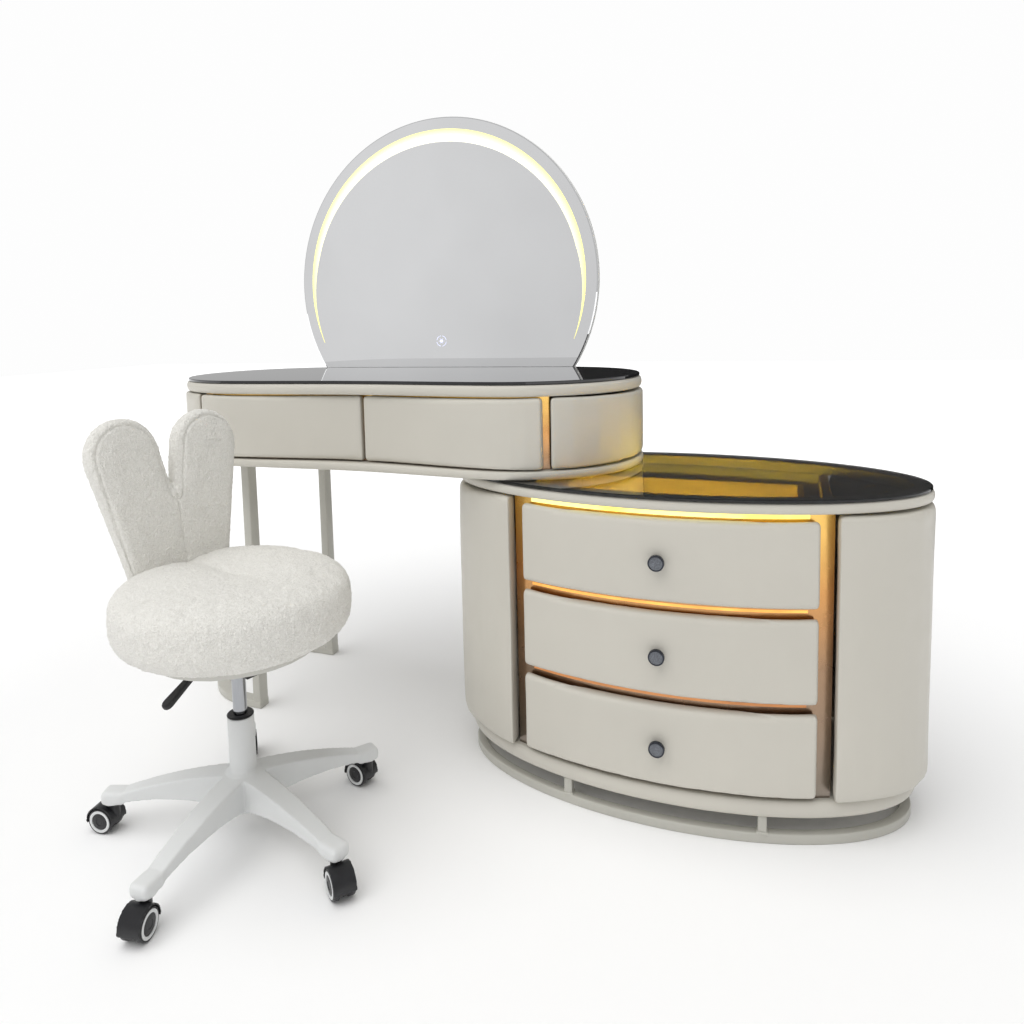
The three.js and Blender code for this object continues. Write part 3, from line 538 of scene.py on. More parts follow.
def swollen(skin, pressure, cap):
    """Cloth blown up from inside by pressure, moving no point further than cap."""
    rest = coordinates(skin)
    holder = linked(skin.name, skin)
    cloth = holder.modifiers.new("stuffing", "CLOTH").settings
    cloth.quality = 4
    cloth.mass = 0.3
    cloth.tension_stiffness = 25
    cloth.compression_stiffness = 25
    cloth.bending_stiffness = 2
    cloth.use_pressure = True
    cloth.uniform_pressure_force = pressure
    cloth.effector_weights.gravity = 0
    scene = bpy.context.scene
    for step in range(1, SWELL_FRAMES + 1):
        scene.frame_set(step)
    graph = bpy.context.evaluated_depsgraph_get()
    moved = bpy.data.meshes.new_from_object(holder.evaluated_get(graph))
    shift = coordinates(moved) - rest
    bpy.data.objects.remove(holder)
    length = np.linalg.norm(shift, axis=1, keepdims=True)
    shift *= np.minimum(1, cap / np.maximum(length, 1e-9))
    settle(moved, rest + shift)
    scene.frame_set(1)
    return moved


def subdivided(skin):
    holder = linked(skin.name, skin)
    holder.modifiers.new("finer", "SUBSURF").levels = 1
    return baked(holder)


def creased(skin, seed, height, scale):
    """Faint unevenness of hand-stretched cover, along the normals."""
    points, outward = coordinates(skin), normals(skin)
    lift = [noise.noise(Vector(p) * scale + Vector((seed, 0, 0))) for p in points]
    settle(skin, points + height * np.array(lift)[:, None] * outward)
    return skin


def rolled_over(skin, radius):
    """The cover drawn back over the top front edge in a quarter round."""
    points = coordinates(skin)
    level = points[:, 2].max() - radius
    front = points[:, 1] < np.median(points[:, 1])
    rise = np.clip(points[:, 2] - level, 0, radius * 0.98)
    points[:, 1] += front * 0.8 * (radius - np.sqrt(radius**2 - rise**2))
    settle(skin, points)
    return skin


def upholster(node, body, material, voxel, smoothing, pressure, cap, draw_in=0.0015, roll=0.0):
    """A firm foam panel covered in leatherette, in the place of its CAD node."""
    skin = evened(node + "_skin", [node], voxel, smoothing, draw_in)
    skin = swollen(skin, pressure, cap)
    if roll:
        skin = rolled_over(skin, roll)
    skin = creased(subdivided(skin), sum(map(ord, node)) % 97, 0.0005, 9)
    shade_by_angle(skin, 60)
    piece = add_object(node + "_padded", skin, material, body)
    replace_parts(piece, node)


def roll_section(height, width, bulge=0.010, inset=0.0, steps=18):
    """A full padded roll in section, as (inset, height) pairs. inset sets it in from the panels beside it."""
    section = [(width, 0)]
    for i in range(steps + 1):
        angle = math.pi * i / steps
        out = math.sin(angle) ** 0.7
        section.append((inset + bulge * (1 - out), height * (0.5 - 0.5 * math.cos(angle))))
    return [*section, (width, height)]


def edge_band(node, outline, section, material, hollow=True):
    """A padded band round an outline. A hollow one is open in the middle, and the other is a slab."""
    rings = [outline.ring(inset, outline.low + z) for inset, z in section]
    mesh = loft(node, rings, looped=hollow, degrees=50)
    piece = add_object(node + "_band", mesh, material, "furniture")
    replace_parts(piece, node)


# ---- cabinet and desk


def glass_top(node, outline, material):
    """A glass sheet with polished bevels."""
    low, high = outline.low, outline.high
    insets = [(GLASS_BEVEL, low), (0, low + GLASS_BEVEL), (0, high - GLASS_BEVEL), (GLASS_BEVEL, high)]
    mesh = loft(node, [outline.ring(inset, z) for inset, z in insets], degrees=20)
    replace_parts(add_object(node + "_sheet", mesh, material, "furniture"), node)


def rounded_section(low, high, width, radius=0.002, steps=3):
    """A rectangular bar in section with rounded corners, as (inset, height) pairs."""
    corners = [(width - radius, low + radius, -90), (width - radius, high - radius, 0)]
    corners += [(radius, high - radius, 90), (radius, low + radius, 180)]
    return [p for cx, cy, start in corners for p in arc(cx, cy, radius, start, start + 90, steps)]


def base_ring(material):
    """The oval ring on the floor and its four posts, welded up to the plinth."""
    outline = Oval("base_frame")
    ring_top = RING_WIDTH
    section = rounded_section(0, ring_top, RING_WIDTH)
    parts = [loft("ring", [outline.ring(inset, z) for inset, z in section], looped=True)]
    post_points = [v.co for v in nodes["base_frame"].data.vertices if v.co.z > ring_top * 1.5]
    for side_x in (-1, 1):
        for side_y in (-1, 1):
            near = [p for p in post_points if (p.x - outline.x) * side_x > 0]
            near = [p for p in near if (p.y - outline.y) * side_y > 0]
            low = Vector((min(p.x for p in near), min(p.y for p in near), ring_top * 0.6))
            high = Vector((max(p.x for p in near), max(p.y for p in near), outline.high))
            parts.append(rounded_box("post", low, high, 0.0015))
            weld = 0.0025
            foot_low = (low.x - weld, low.y - weld, ring_top - weld)
            foot_high = (high.x + weld, high.y + weld, ring_top + weld)
            parts.append(rounded_box("weld", foot_low, foot_high, weld * 0.9))
    piece = add_object("base_frame_bars", merged("bars", parts), material, "furniture")
    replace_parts(piece, "base_frame")


def leg_frame(material):
    """The desk's leg: two flat bars bent in a half circle, and two posts."""
    low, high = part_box("leg_frame")
    half = LEG_BAR_WIDTH / 2
    buried = 0.0006  # so that no faces of bar and post coincide
    middle_y = (low.y + high.y) / 2
    radius = (high.y - low.y) / 2 - half
    bend_x = low.x + radius + half
    parts = []
    for bottom in (low.z, high.z - LEG_BAR_HEIGHT):
        path = [(high.x - buried, middle_y + radius, 90)]
        path += [(x, y, angle) for (x, y), angle in
                 zip(arc(bend_x, middle_y, radius, 90, 270, 40), np.linspace(90, 270, 41))]
        path.append((high.x - buried, middle_y - radius, 270))
        rings = []
        section = rounded_section(bottom, bottom + LEG_BAR_HEIGHT, LEG_BAR_WIDTH, 0.003)
        for x, y, angle in path:
            out = Vector((math.cos(math.radians(angle)), math.sin(math.radians(angle)), 0))
            rings.append([Vector((x, y, z)) + out * (half - inset) for inset, z in section])
        parts.append(loft("bar", rings))
    for side in (-1, 1):
        y = middle_y + side * radius
        post_low = (high.x - LEG_POST_WIDTH, y - half + buried, buried)
        post_high = (high.x, y + half - buried, high.z - buried)
        parts.append(rounded_box("post", post_low, post_high, 0.0025))
    piece = add_object("leg_frame_bars", merged("leg", parts), material, "furniture")
    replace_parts(piece, "leg_frame")


def knob(name, body, face, ring):
    """A turned knob: a dark rim round a finely grained face, on a short stem."""
    low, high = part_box(name)
    radius = (high.x - low.x) / 2
    depth = high.y - low.y
    centre = Vector(((low.x + high.x) / 2, high.y, (low.z + high.z) / 2))
    stem = depth * 0.45
    lip, round_off = radius * 0.84, 0.0016
    outer = [(radius * 0.40, 0), (radius * 0.36, 0.002), (radius * 0.36, stem), (radius - round_off, stem)]
    outer += [(radius, stem + round_off), (radius, depth - round_off)]
    outer += [(radius - round_off * 0.3, depth - round_off * 0.3)]
    outer += [(radius - round_off, depth), (lip + 0.0006, depth), (lip, depth - 0.0008), (lip, depth - 0.002)]
    rim = add_object(name + "_rim", lathe(name, outer, centre, (0, -1, 0)), ring, body)
    disc = [(lip - 0.0002, depth - 0.003), (lip - 0.0002, depth - 0.001)]
    disc += [(lip * (1 - i / 8), depth - 0.001 + 0.0006 * math.sin(math.pi * i / 16)) for i in range(1, 8)]
    add_object(name + "_face", lathe(name, disc, centre, (0, -1, 0)), face, body)
    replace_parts(rim, name)


def refine(node, material, bevel=0.0008):
    """A CAD node that keeps its shape: a material and softly broken edges."""
    piece = nodes[node]
    piece.data.materials.clear()
    piece.data.materials.append(material)
    if bevel:
        edges = piece.modifiers.new("broken_edges", "BEVEL")
        edges.width = bevel
        edges.segments = 2
        edges.limit_method = "ANGLE"
        edges.angle_limit = math.radians(40)


def front_line(node, low, high):
    """The (x, y) corners of a node's front face between two heights. The face bulges towards -Y."""
    points = [v.co for v in nodes[node].data.vertices]
    spots = sorted({(round(p.x, 5), p.y) for p in points if low < p.z < high})
    line = []
    for x, y in spots:
        while len(line) > 1:
            (x0, y0), (x1, y1) = line[-2:]
            if (x1 - x0) * (y - y0) > (y1 - y0) * (x - x0):
                break
            line.pop()
        line.append((x, y))
    return np.array(line)


def gap_painted_glow(name, above, below, material):
    """A thin glowing strip along the face frame, in the gap between two drawers. It is no lamp: painted
    light, standing in for the bronze trim there lit by the lamp strip.
    """
    gap_low, gap_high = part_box(below)[1].z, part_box(above)[0].z
    line = front_line("face_frame", gap_low - 0.012, gap_high + 0.012)
    start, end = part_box(above)[0].x + GAP_GLOW_END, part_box(above)[1].x - GAP_GLOW_END
    inside = line[(line[:, 0] > start) & (line[:, 0] < end), 0]
    low = gap_low + 0.35 * (gap_high - gap_low)
    high = gap_low + 0.65 * (gap_high - gap_low)
    rings = []
    for x in (start, *inside, end):
        back = np.interp(x, line[:, 0], line[:, 1]) + 0.0002
        front = back - 0.0006
        rings.append([Vector((x, y, z)) for y, z in ((back, low), (front, low), (front, high), (back, high))])
    add_object(name, loft(name, rings), material, "furniture")


# ---- mirror


def mirror_ring(centre, radius, cut, y, steps=120):
    """A disc's outline in X and Z, cut flat at height cut."""
    low = math.degrees(math.asin(max(-1, min(1, (cut - centre.z) / radius))))
    return [Vector((centre.x + x, y, centre.z + z)) for x, z in arc(0, 0, radius, low, 180 - low, steps)]


def crescent(centre, outer, depth, foot):
    """The lit crescent let into the glass: widest at the top, tapering to a point at each end."""
    steps = 90
    sweep = math.degrees(math.asin((foot - centre.z) / outer))
    front_shift, back_shift = Vector((0, -CRESCENT_PROUD, 0)), Vector((0, depth, 0))
    rings = []
    for i in range(steps + 1):
        angle = math.radians(sweep + (180 - 2 * sweep) * i / steps)
        share = max(0.0, (math.sin(angle) + 0.36) / 1.36)
        taper = min(1.0, 6 * min(i, steps - i) / steps + 0.08)
        width = (CRESCENT_SIDE + (CRESCENT_TOP - CRESCENT_SIDE) * share ** 1.6) * taper
        along = Vector((math.cos(angle), 0, math.sin(angle)))
        far, near = centre + along * outer, centre + along * (outer - width)
        middle = (far + near) / 2 + Vector((0, -CRESCENT_PROUD * 1.6, 0))
        rings.append([far + back_shift, far + front_shift, middle, near + front_shift, near + back_shift])
    return loft("crescent", rings)


def mirror_shell(centre, start, cut):
    """The shallow case behind the glass, with the two straps that hold it to the desk and their screws."""
    low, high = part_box("mirror_case")
    radius = (high.x - low.x) / 2
    end = start + CASE_DEPTH
    outline = [(radius - 0.001, start), (radius, start + 0.001), (radius, end - CASE_SOFT)]
    outline += [(radius - CASE_SOFT * 0.3, end - CASE_SOFT * 0.3), (radius - CASE_SOFT, end)]
    parts = [loft("case", [mirror_ring(centre, r, cut, y) for r, y in outline], degrees=40)]
    screw = [(0.0, -0.001), (0.005, -0.001), (0.005, 0.001), (0.0035, 0.0022), (0.0008, 0.0025)]
    top = cut + STRAP_RISE
    for side in (-1, 1):
        x = centre.x + side * STRAP_X
        left, right = x - STRAP_HALF, x + STRAP_HALF
        parts.append(rounded_box("strap", (left, high.y - 0.003, low.z), (right, high.y, top), 0.0012))
        root_low, root_high = (left, end - 0.001, cut + 0.020), (right, high.y - 0.0005, top)
        parts.append(rounded_box("strap_root", root_low, root_high, 0.0012))
        for level in (-0.018, -0.042):
            spot = (x, high.y - 0.0012, cut + level)
            parts.append(lathe("screw", screw, spot, (0, 1, 0), 20))
    return merged("case", parts)


def mirror(glass, case, mark):
    low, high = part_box("mirror_glass")
    radius = (high.x - low.x) / 2
    centre = Vector(((low.x + high.x) / 2, low.y, high.z - radius))
    cut, front, back = low.z, low.y, high.y
    rings = [
        mirror_ring(centre, radius, cut, back),
        mirror_ring(centre, radius, cut, front + MIRROR_EDGE),
        mirror_ring(centre, radius - MIRROR_BEVEL, cut + 0.0002, front),
    ]
    sheet = loft("sheet", rings, degrees=1)
    piece = add_object("mirror_glass_sheet", sheet, glass, "furniture")
    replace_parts(piece, "mirror_glass")

    lamp_low, lamp_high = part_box("mirror_light")
    edge = (high.z - lamp_high.z) + 0.0003
    outer = radius - edge
    diffuser = crescent(centre, outer, back - front, lamp_low.z)
    light = crescent_glow(centre, outer, CRESCENT_TOP)
    piece = add_object("mirror_light_crescent", diffuser, light, "furniture")
    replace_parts(piece, "mirror_light")

    shell = mirror_shell(centre, back + 0.0003, cut)
    piece = add_object("mirror_case_shell", shell, case, "furniture")
    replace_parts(piece, "mirror_case")
    touch_mark(centre, front, mark)


def touch_mark(centre, front, material):
    """A plain generic switch symbol: a broken ring round a dot and three short bars."""
    where = Vector((centre.x, front - 0.0003, centre.z - 0.140))
    parts = []
    for start in (100, 190, 280, 10):
        ring = []
        for x, z in arc(0, 0, 0.0125, start, start + 70, 14):
            out = Vector((x, 0, z)).normalized() * 0.0006
            middle = where + Vector((x, 0, z))
            depth = Vector((0, 0.0004, 0))
            ring.append([middle - out, middle + out, middle + out + depth, middle - out + depth])
        parts.append(loft("stroke", ring))
    dot = [(0.0035, 0), (0.0035, 0.0004)]
    parts.append(lathe("dot", dot, where, (0, 1, 0), 24))
    for turn in (0, 60, 120):
        bar = rounded_box("bar", (-0.0070, 0, -0.0004), (0.0070, 0.0004, 0.0004), 0.0001)
        bar.transform(Matrix.Translation(where) @ Matrix.Rotation(math.radians(turn), 4, "Y"))
        parts.append(bar)
    add_object("mirror_touch_mark", merged("mark", parts), material, "furniture")


# ---- stool


def curls(skin, height, seed):
    """Loops of bouclé yarn standing up from a fabric surface."""
    points, outward = coordinates(skin), normals(skin)
    lift = np.empty(len(points))
    for i, p in enumerate(points):
        where = Vector(p)
        warp = noise.noise_vector(where * 70) * 0.006
        loops = abs(noise.noise((where + warp) * 240 + Vector((seed, 0, 0))))
        lift[i] = loops + 0.35 * noise.noise(where * 60)
    settle(skin, points + height * lift[:, None] * outward)
    return skin


def seat_and_back(material):
    low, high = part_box("seat_cushion")
    pivot = joints["seat_swivel"]["pos_m"]
    axis = Vector((pivot[0], pivot[1], 0))
    back_low, back_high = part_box("backrest")
    towards = ((back_low + back_high) / 2 - axis).xy.normalized()
    across = Vector((-towards.y, towards.x))

    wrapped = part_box("seat_board")[0].z + 0.002  # the cover is drawn down round the board
    radius = (high.x - low.x) / 2
    middle, half = (high.z + wrapped) / 2, (high.z - wrapped) / 2
    profile = []
    for i in range(1, 48):
        angle = math.pi * (i / 48 - 0.5)
        flat = math.copysign(abs(math.sin(angle)) ** (2 / SEAT_SQUARENESS), angle)
        profile.append((radius * math.cos(angle) ** (2 / SEAT_SQUARENESS), middle + half * flat))
    mesh = lathe("seat_skin", [(r - 0.002, z) for r, z in profile], axis, (0, 0, 1), 96)
    skin = evened("seat_skin", [mesh], 0.0060, 1, 0.001)
    skin = swollen(skin, 2.5, 0.0035)
    skin = subdivided(subdivided(skin))
    points = coordinates(skin)
    side = (points[:, :2] - axis.xy) @ np.array(across)
    along = (points[:, :2] - axis.xy) @ np.array(towards)
    top = np.clip((points[:, 2] - (high.z - 0.050)) / 0.045, 0, 1)
    reach = np.clip((along + 0.15) / 0.16, 0, 1)
    valley = 0.009 * np.exp(-((side / 0.045) ** 2)) + 0.003 * np.exp(-((side / 0.011) ** 2))
    points[:, 2] -= valley * top * reach
    points[:, 2] -= 0.007 * np.clip(1 - np.hypot(side, along + 0.03) / 0.16, 0, 1) * top
    settle(skin, points)
    curls(skin, 0.0022, 3.0)
    shade_by_angle(skin, 180)
    cushion = add_object("seat_cushion_boucle", skin, material, "seat")
    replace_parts(cushion, "seat_cushion")
    backrest(material, axis, across)


def ears_outline(steps=24):
    """The back's outline in its own plane, X across and Y up from the foot: two round ears and the notch."""
    def touch(px, py, side):
        towards = math.atan2(py - EAR_RISE, px - EAR_X)
        spread = math.acos(EAR_RADIUS / math.hypot(px - EAR_X, py - EAR_RISE))
        return math.degrees(towards + side * spread) + (0 if side > 0 else 360)

    tip = arc(EAR_X, EAR_RISE, EAR_RADIUS, touch(EAR_FOOT, 0, 1), touch(0, EAR_NOTCH, -1), steps)
    right = [(EAR_FOOT, -EAR_FOOT), *tip, (0, EAR_NOTCH)]
    return np.array(right), np.array([(-x, y) for x, y in right])


def distance_to(points, line):
    """How far each (x, y) point is from an open line of points."""
    best = np.full(len(points), np.inf)
    for start, end in zip(line[:-1], line[1:]):
        run = end - start
        share = np.clip(((points - start) @ run) / (run @ run), 0, 1)
        best = np.minimum(best, np.linalg.norm(points - start - share[:, None] * run, axis=1))
    return best


def backrest(material, axis, across):
    """The two-eared back: padded panels sewn to an edge band, with a seam down from the notch."""
    skin = evened("back_skin", ["backrest"], 0.0040, 1, 0.001)
    skin = swollen(skin, 3.0, 0.0025)
    skin = subdivided(subdivided(skin))
    points, outward = coordinates(skin), normals(skin)
    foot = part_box("seat_cushion")[0].z
    lean = math.cos(math.radians(EAR_LEAN))
    plane = np.stack([(points[:, :2] - axis.xy) @ np.array(across), (points[:, 2] - foot) / lean], axis=1)
    edge = np.minimum(*(distance_to(plane, line) for line in ears_outline()))
    facing = np.abs(outward[:, :2] @ np.array([-across.y, across.x])) > 0.5
    sewn = np.exp(-(((edge - EAR_SEAM) / 0.0022) ** 2))
    below = (plane[:, 1] < EAR_NOTCH) & (plane[:, 1] > 0)
    sewn = np.maximum(sewn, below * np.exp(-((plane[:, 0] / 0.0024) ** 2)))
    puff = np.clip((edge - EAR_SEAM) / 0.025, 0, 1)
    puff = puff * (1 - 0.8 * below * np.exp(-((plane[:, 0] / 0.012) ** 2)))
    settle(skin, points + (facing * (0.0018 * puff - 0.0024 * sewn))[:, None] * outward)
    skin = curls(skin, 0.0018, 11.0)
    shade_by_angle(skin, 180)
    ears = add_object("backrest_boucle", skin, material, "seat")
    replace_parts(ears, "backrest")


def star_base(material):
    """The moulded base with its column in one flowing skin, with a rounded block at the end of each leg."""
    low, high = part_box("gas_column")
    centre = Vector(((low.x + high.x) / 2, (low.y + high.y) / 2))
    blocks = []
    for number in range(1, 6):
        stem = Vector(joints[f"caster_{number}_swivel_turn"]["pos_m"])
        out = (stem.xy - centre).normalized()
        half = TIP_WIDTH / 2
        block = rounded_box("tip", (-half * 1.5, -half, stem.z), (half, half, stem.z + 0.0225), 0.0065)
        turn = Matrix.Rotation(math.atan2(out.y, out.x), 4, "Z")
        block.transform(Matrix.Translation((stem.x, stem.y, 0)) @ turn)
        blocks.append(block)
    skin = evened("star_skin", ["star_base", "gas_column", *blocks], 0.0022, 3)
    shade_by_angle(skin, 80)
    piece = add_object("star_base_moulding", skin, material, "stool_base")
    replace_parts(piece, "star_base", "gas_column")


def gas_rod(rod, collar):
    low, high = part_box("gas_piston")
    centre = Vector(((low.x + high.x) / 2, (low.y + high.y) / 2, 0))
    sleeve = (high.x - low.x) / 2
    inner = sleeve - 0.002
    wide = [v.co.z for v in nodes["gas_piston"].data.vertices if (v.co.xy - centre.xy).length > inner + 0.001]
    start, end = min(wide), max(wide)
    profile = [(0.0005, low.z), (inner - 0.0008, low.z), (inner, low.z + 0.0008), (inner, start)]
    profile += [(sleeve - 0.0006, start), (sleeve, start + 0.0006)]
    profile += [(sleeve, end - 0.0006), (sleeve - 0.0006, end)]
    profile += [(inner, end), (inner, high.z), (0.0005, high.z)]
    mesh = lathe("piston", profile, centre, (0, 0, 1))
    piece = add_object("gas_piston_turned", mesh, rod, "lift")
    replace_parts(piece, "gas_piston")

    low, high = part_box("column_bush")
    flange = (high.x - low.x) / 2
    top, step = high.z, high.z - 0.003
    bore = inner + 0.0002
    profile = [(bore, low.z), (flange - 0.0043, low.z), (flange - 0.0043, step), (flange - 0.0004, step)]
    profile += [(flange, step + 0.0006), (flange, top - 0.0012), (flange - 0.0012, top), (bore + 0.0025, top)]
    profile += [(bore, step)]
    mesh = lathe("bush", profile, centre, (0, 0, 1), looped=True)
    piece = add_object("column_bush_turned", mesh, collar, "stool_base")
    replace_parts(piece, "column_bush")


def lever(material):
    skin = evened("lever_skin", ["height_lever"], 0.0012, 3)
    shade_by_angle(skin, 70)
    piece = add_object("height_lever_moulding", skin, material, "lever")
    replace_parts(piece, "height_lever")


def trued(skin, centre, axis, radii, reach=0.0013):
    """Brings the points that lie close to given radii round an axis exactly onto them."""
    points = coordinates(skin)
    away = points - np.array(centre)
    along = (away @ np.array(axis))[:, None] * np.array(axis)
    spoke = away - along
    length = np.linalg.norm(spoke, axis=1)
    for radius in radii:
        near = np.abs(length - radius) < reach
        spoke[near] *= (radius / length[near])[:, None]
    settle(skin, np.array(centre) + along + spoke)


def caster(number, black, grey):
    """Twin wheels with light rings and hub caps, under a moulded hood."""
    joint = joints[f"caster_{number}_roll"]
    centre, axis = Vector(joint["pos_m"]), Vector(joint["axis"]).normalized()
    radius = centre.z
    body = f"caster_{number}_wheel_pair"
    inner = WHEEL_SPACING / 2
    face = inner + WHEEL_WIDTH

    def stepped(*insets):
        """Profile points set in from the tread and from the outer face."""
        return [(radius - inward, face - down) for inward, down in insets]

    parts, rings, caps = [], [], []
    for side in (-1, 1):
        profile = [(0.004, inner), (radius - 0.004, inner), (radius - 0.0015, inner + 0.0008)]
        profile += [(radius, inner + 0.003), (radius, face - 0.003), (radius - 0.0010, face - 0.0010)]
        profile += stepped((0.0026, 0.0004), (0.0030, 0.0016)) + [(0.004, face - 0.0016)]
        parts.append(lathe("wheel", profile, centre, axis * side, 56))
        band = stepped((0.0032, 0.0016), (0.0034, 0.0004), (0.0050, -0.0002))
        band += stepped((0.0078, 0.0004), (0.0082, 0.0022), (0.0034, 0.0022))
        rings.append(lathe("ring", band, centre, axis * side, 56, looped=True))
        cap = stepped((0.0084, 0.0030), (0.0088, 0.0012))
        cap += [(radius * 0.45, face - 0.0002), (radius * 0.30, face - 0.0002)]
        cap += [(radius * 0.26, face - 0.0010), (0.0006, face - 0.0008)]
        caps.append(lathe("cap", cap, centre, axis * side, 56))
    axle = [(0.0038, -WHEEL_SPACING / 2 - 0.001), (0.0038, WHEEL_SPACING / 2 + 0.001)]
    parts.append(lathe("axle", axle, centre, axis, 24))
    tyres = add_object(f"caster_{number}_tyres", merged("tyres", parts + caps), black, body)
    add_object(f"caster_{number}_rings", merged("rings", rings), grey, body)
    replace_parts(tyres, f"caster_{number}_wheels")
    skin = evened("hood_skin", [f"caster_{number}_fork"], 0.0009, 3)
    trued(skin, centre, axis, (radius + HOOD_GAP, radius + HOOD_GAP + HOOD_THICKNESS))
    shade_by_angle(skin, 60)
    hood = add_object(f"caster_{number}_hood", skin, black, f"caster_{number}_swivel")
    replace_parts(hood, f"caster_{number}_fork")


# ---- assembly


def build_cabinet(leather, steel_paint, frame_bronze, glass, wood, zinc):
    for side in ("left", "right"):
        upholster(f"{side}_side_shell", "furniture", leather, 0.007, 3, 3.0, 0.003)
        refine(f"{side}_partition", wood)
    upholster("cabinet_back", "furniture", leather, 0.006, 2, 3.0, 0.003, 0.001)
    rim, plinth = Oval("cabinet_rim"), Oval("plinth")
    edge_band("cabinet_rim", rim, roll_section(rim.high - rim.low, RIM_WIDTH, 0.007, RIM_INSET), leather)
    edge_band("plinth", plinth, roll_section(plinth.high - plinth.low, 0.06), leather, hollow=False)
    glass_top("cabinet_glass", Oval("cabinet_glass"), glass)
    base_ring(steel_paint)
    refine("face_frame", frame_bronze, 0.0006)
    face, knob_edge = knob_face(), knob_ring()
    for level in ("upper", "middle", "lower"):
        body = f"{level}_drawer"
        upholster(f"{body}_front", body, leather, 0.0040, 1, 2.0, 0.0012, 0.0006, 0.012)
        knob(f"{body}_knob", body, face, knob_edge)
        refine(f"{body}_box", wood)
        refine(f"{body}_runner", zinc)


def build_desk(leather, steel_paint, frame_bronze, glass, wood, zinc):
    for side in ("left", "right"):
        upholster(f"desk_{side}_end", "furniture", leather, 0.006, 3, 3.0, 0.003)
        body = f"{side}_desk_drawer"
        upholster(f"{body}_front", body, leather, 0.0040, 1, 2.0, 0.0010, 0.0006, 0.006)
        refine(f"{body}_box", wood)
        refine(f"{body}_runner", zinc)
    upholster("desk_back", "furniture", leather, 0.006, 2, 3.0, 0.003)
    rim, base = Kidney("desk_rim"), Kidney("desk_base")
    edge_band("desk_rim", rim, roll_section(rim.high - rim.low, DESK_RIM_WIDTH, 0.008, RIM_INSET), leather)
    edge_band("desk_base", base, roll_section(base.high - base.low, 0.05, 0.006), leather, hollow=False)
    glass_top("desk_glass", Kidney("desk_glass"), glass)
    refine("desk_face_frame", frame_bronze, 0.0006)
    refine("desk_divider", wood)
    leg_frame(steel_paint)


def build_stool(black, nylon):
    seat_and_back(boucle())
    refine("seat_board", white_plastic("dust_cover", (0.62, 0.61, 0.57), 0.8))
    refine("seat_mount", black)
    lever(black)
    gas_rod(polished_rod(), black)
    star_base(nylon)
    ring_grey = white_plastic("ring_grey", (0.72, 0.73, 0.73), 0.35)
    for number in range(1, 6):
        caster(number, black, ring_grey)


# ---- stage, light and camera


def set_stage():
    """A plain pale floor under soft studio light."""
    size = 14
    corners = [(-size, -size, 0), (size, -size, 0), (size, size, 0), (-size, size, 0)]
    floor_mesh = mesh_from("floor", corners, [(0, 1, 2, 3)])
    floor = linked("floor", floor_mesh)
    look = Recipe("floor", (0.96, 0.96, 0.96), 0.8)
    look.tint(look.cloudy(0.4, 2), 0.004)
    away = look.node("ShaderNodeVectorMath", {0: look.place}, operation="LENGTH").outputs["Value"]
    fade = look.remap(away, 1.1, 4.0, 0, 1)
    look.feed("Emission Color", look.shades(fade, [(0.0, (0.0, 0.0, 0.0)), (1.0, (0.30, 0.30, 0.30))]))
    look.put("Emission Strength", 1.0).put("Specular IOR Level", 0.1)
    floor_mesh.materials.append(look.material)

    light_room()
    middle = (cad_low + cad_high) / 2
    above = bpy.data.lights.new("overhead", "SUN")
    above.energy, above.angle = 1.75, 1.1
    aim_lamp("overhead", above, middle + Vector((-0.30, -0.55, 1.5)), middle)
    front = bpy.data.lights.new("front_softbox", "AREA")
    front.energy, front.size = 4, 1.8
    aim_lamp("front_softbox", front, middle + Vector((-1.2, -2.6, 1.2)), middle)
    reflection_card("dark_card", (-0.30, 1.9), (1.75, 0.0, 1.5), 0.012)
    reflection_card("grey_card", (-3.6, 0.9), (-2.5, -0.6, 3.4), 0.64)


def light_room():
    """An even white room: full white to look at, dimmer as light, so that the overhead lamp gives shape."""
    world = bpy.data.worlds.new("studio")
    world.use_nodes = True
    tree = world.node_tree
    seen = tree.nodes["Background"]
    seen.inputs["Color"].default_value = (0.985, 0.985, 0.985, 1)
    lit = tree.nodes.new("ShaderNodeBackground")
    lit.inputs["Strength"].default_value = 0.62
    path, choice = tree.nodes.new("ShaderNodeLightPath"), tree.nodes.new("ShaderNodeMixShader")
    tree.links.new(path.outputs["Is Camera Ray"], choice.inputs[0])
    tree.links.new(lit.outputs[0], choice.inputs[1])
    tree.links.new(seen.outputs[0], choice.inputs[2])
    tree.links.new(choice.outputs[0], tree.nodes["World Output"].inputs[0])
    bpy.context.scene.world = world
    bpy.context.scene.view_settings.view_transform = "Standard"


def aim_lamp(name, light, place, target):
    lamp = linked(name, light)
    lamp.location = place
    lamp.rotation_euler = (target - place).to_track_quat("-Z", "Y").to_euler()
    lamp.visible_camera = False
    lamp.visible_glossy = False
    lamp.visible_transmission = False


def reflection_card(name, x_range, place, brightness):
    """An upright studio card that only reflections show. place is its Y, its lowest and its highest Z."""
    y, low, high = place
    corners = [(x_range[0], y, low), (x_range[1], y, low), (x_range[1], y, high), (x_range[0], y, high)]
    mesh = mesh_from(name, corners, [(0, 1, 2, 3)])
    card = linked(name, mesh)
    look = Recipe(name, (0, 0, 0), 1.0)
    stops = [(0.3, (brightness * 0.92,) * 3), (0.7, (brightness * 1.05,) * 3)]
    tone = look.shades(look.cloudy(0.7, 2), stops)
    look.feed("Emission Color", tone)
    look.put("Emission Strength", 1.0)
    mesh.materials.append(look.material)
    card.visible_camera = card.visible_diffuse = card.visible_shadow = card.visible_transmission = False


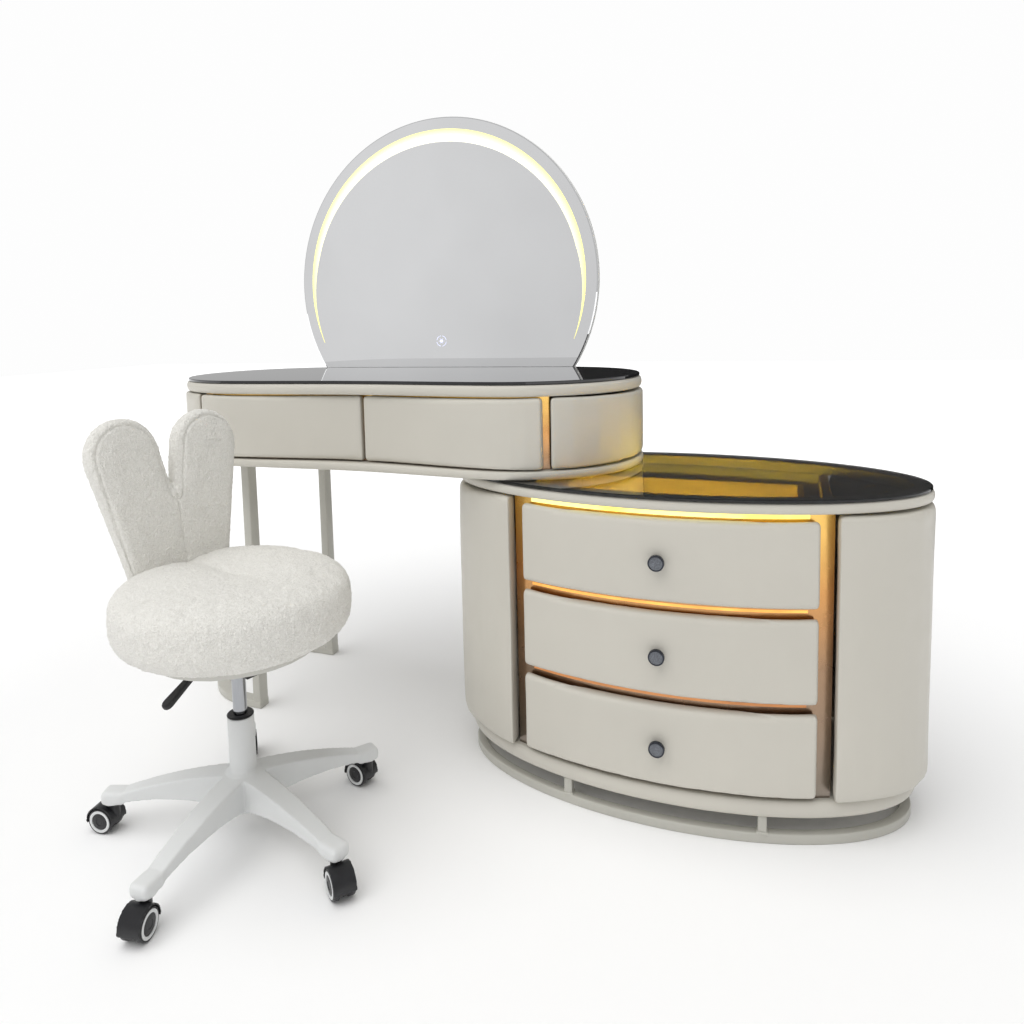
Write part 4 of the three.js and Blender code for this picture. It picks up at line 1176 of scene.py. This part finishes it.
def drawer_glow():
    """Warm light inside the cabinet, over the open top of the upper drawer."""
    low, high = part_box("upper_drawer_box")
    light = bpy.data.lights.new("drawer_glow", "AREA")
    light.shape = "RECTANGLE"
    light.size, light.size_y = (high.x - low.x) * 0.8, 0.03
    light.color = (1.0, 0.76, 0.06)
    light.energy = 5.0
    place = Vector(((low.x + high.x) / 2, low.y + 0.05, high.z - 0.012))
    aim_lamp("drawer_glow", light, place, place + Vector((0, 1.0, -0.9)))
    desk_low, desk_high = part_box("desk_right_end")
    glass = Oval("cabinet_glass")
    spill = bpy.data.lights.new("spill_glow", "AREA")
    spill.size, spill.color, spill.energy = 0.10, (1.0, 0.76, 0.10), 0.10
    place = Vector((desk_high.x + 0.06, glass.y, glass.high + 0.004))
    aim_lamp("spill_glow", spill, place, place + Vector((-1, -0.3, 0.5)))


def set_camera():
    """A viewer's place in front of the set, a little right of its middle, turned towards the desk."""
    cabinet = Oval("cabinet_glass")
    place = Vector((cabinet.x + CAMERA_PLACE[0], cabinet.y + CAMERA_PLACE[1], CAMERA_PLACE[2]))
    yaw, pitch, roll = (math.radians(v) for v in CAMERA_TURN)
    ahead = Vector((-math.sin(yaw) * math.cos(pitch), math.cos(yaw) * math.cos(pitch), -math.sin(pitch)))
    level = Vector((math.cos(yaw), math.sin(yaw), 0))
    upright = level.cross(ahead)
    right = level * math.cos(roll) + upright * math.sin(roll)
    up = upright * math.cos(roll) - level * math.sin(roll)
    data = bpy.data.cameras.new("camera")
    data.sensor_width = 36
    data.lens = 27.566
    data.shift_x, data.shift_y = 0.03694, -0.10939
    camera = linked("camera", data)
    turn = Matrix((right, up, -ahead)).transposed().to_4x4()
    camera.matrix_world = Matrix.Translation(place) @ turn
    bpy.context.scene.camera = camera


def main():
    set_camera()
    set_stage()
    drawer_glow()
    frame_low, frame_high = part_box("face_frame")
    desk_low, desk_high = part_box("desk_face_frame")
    leather, steel_paint, wood, zinc = leatherette(), painted_steel(), board(), steel()
    black, nylon = black_plastic(), white_plastic("white_nylon", (0.74, 0.75, 0.745), 0.38)
    # Both bronzes carry painted light, brown low down to gold towards the lit top; the desk's gradient starts
    # lower.
    build_cabinet(leather, steel_paint, bronze(frame_low.z, frame_high.z), tinted_glass(), wood, zinc)
    build_desk(leather, steel_paint, bronze(desk_low.z - 0.1, desk_high.z), desk_glass(), wood, zinc)
    refine("cabinet_light", glow("lamp_strip", (1.0, 0.93, 0.32), (1.0, 0.86, 0.16), 1.15), 0)
    # The gap strips are painted light, not lamps: gold for the trim lit by the lamp strip, copper-brown for
    # the lower trim's painted reflection.
    gap_painted_glow("upper_gap_painted_glow", "upper_drawer_front", "middle_drawer_front",
              glow("gap_painted_glow_gold", (1.0, 0.56, 0.12), (0.85, 0.42, 0.09), 0.75))
    gap_painted_glow("lower_gap_painted_glow", "middle_drawer_front", "lower_drawer_front",
              glow("gap_painted_glow_copper", (0.62, 0.26, 0.09), (0.5, 0.2, 0.07), 0.5))
    mark = glow("touch_mark", (0.72, 0.75, 1.0), (0.66, 0.70, 0.98), 0.85)
    mirror(silvering(), white_plastic("mirror_case", (0.80, 0.80, 0.78), 0.35), mark)
    build_stool(black, nylon)


main()
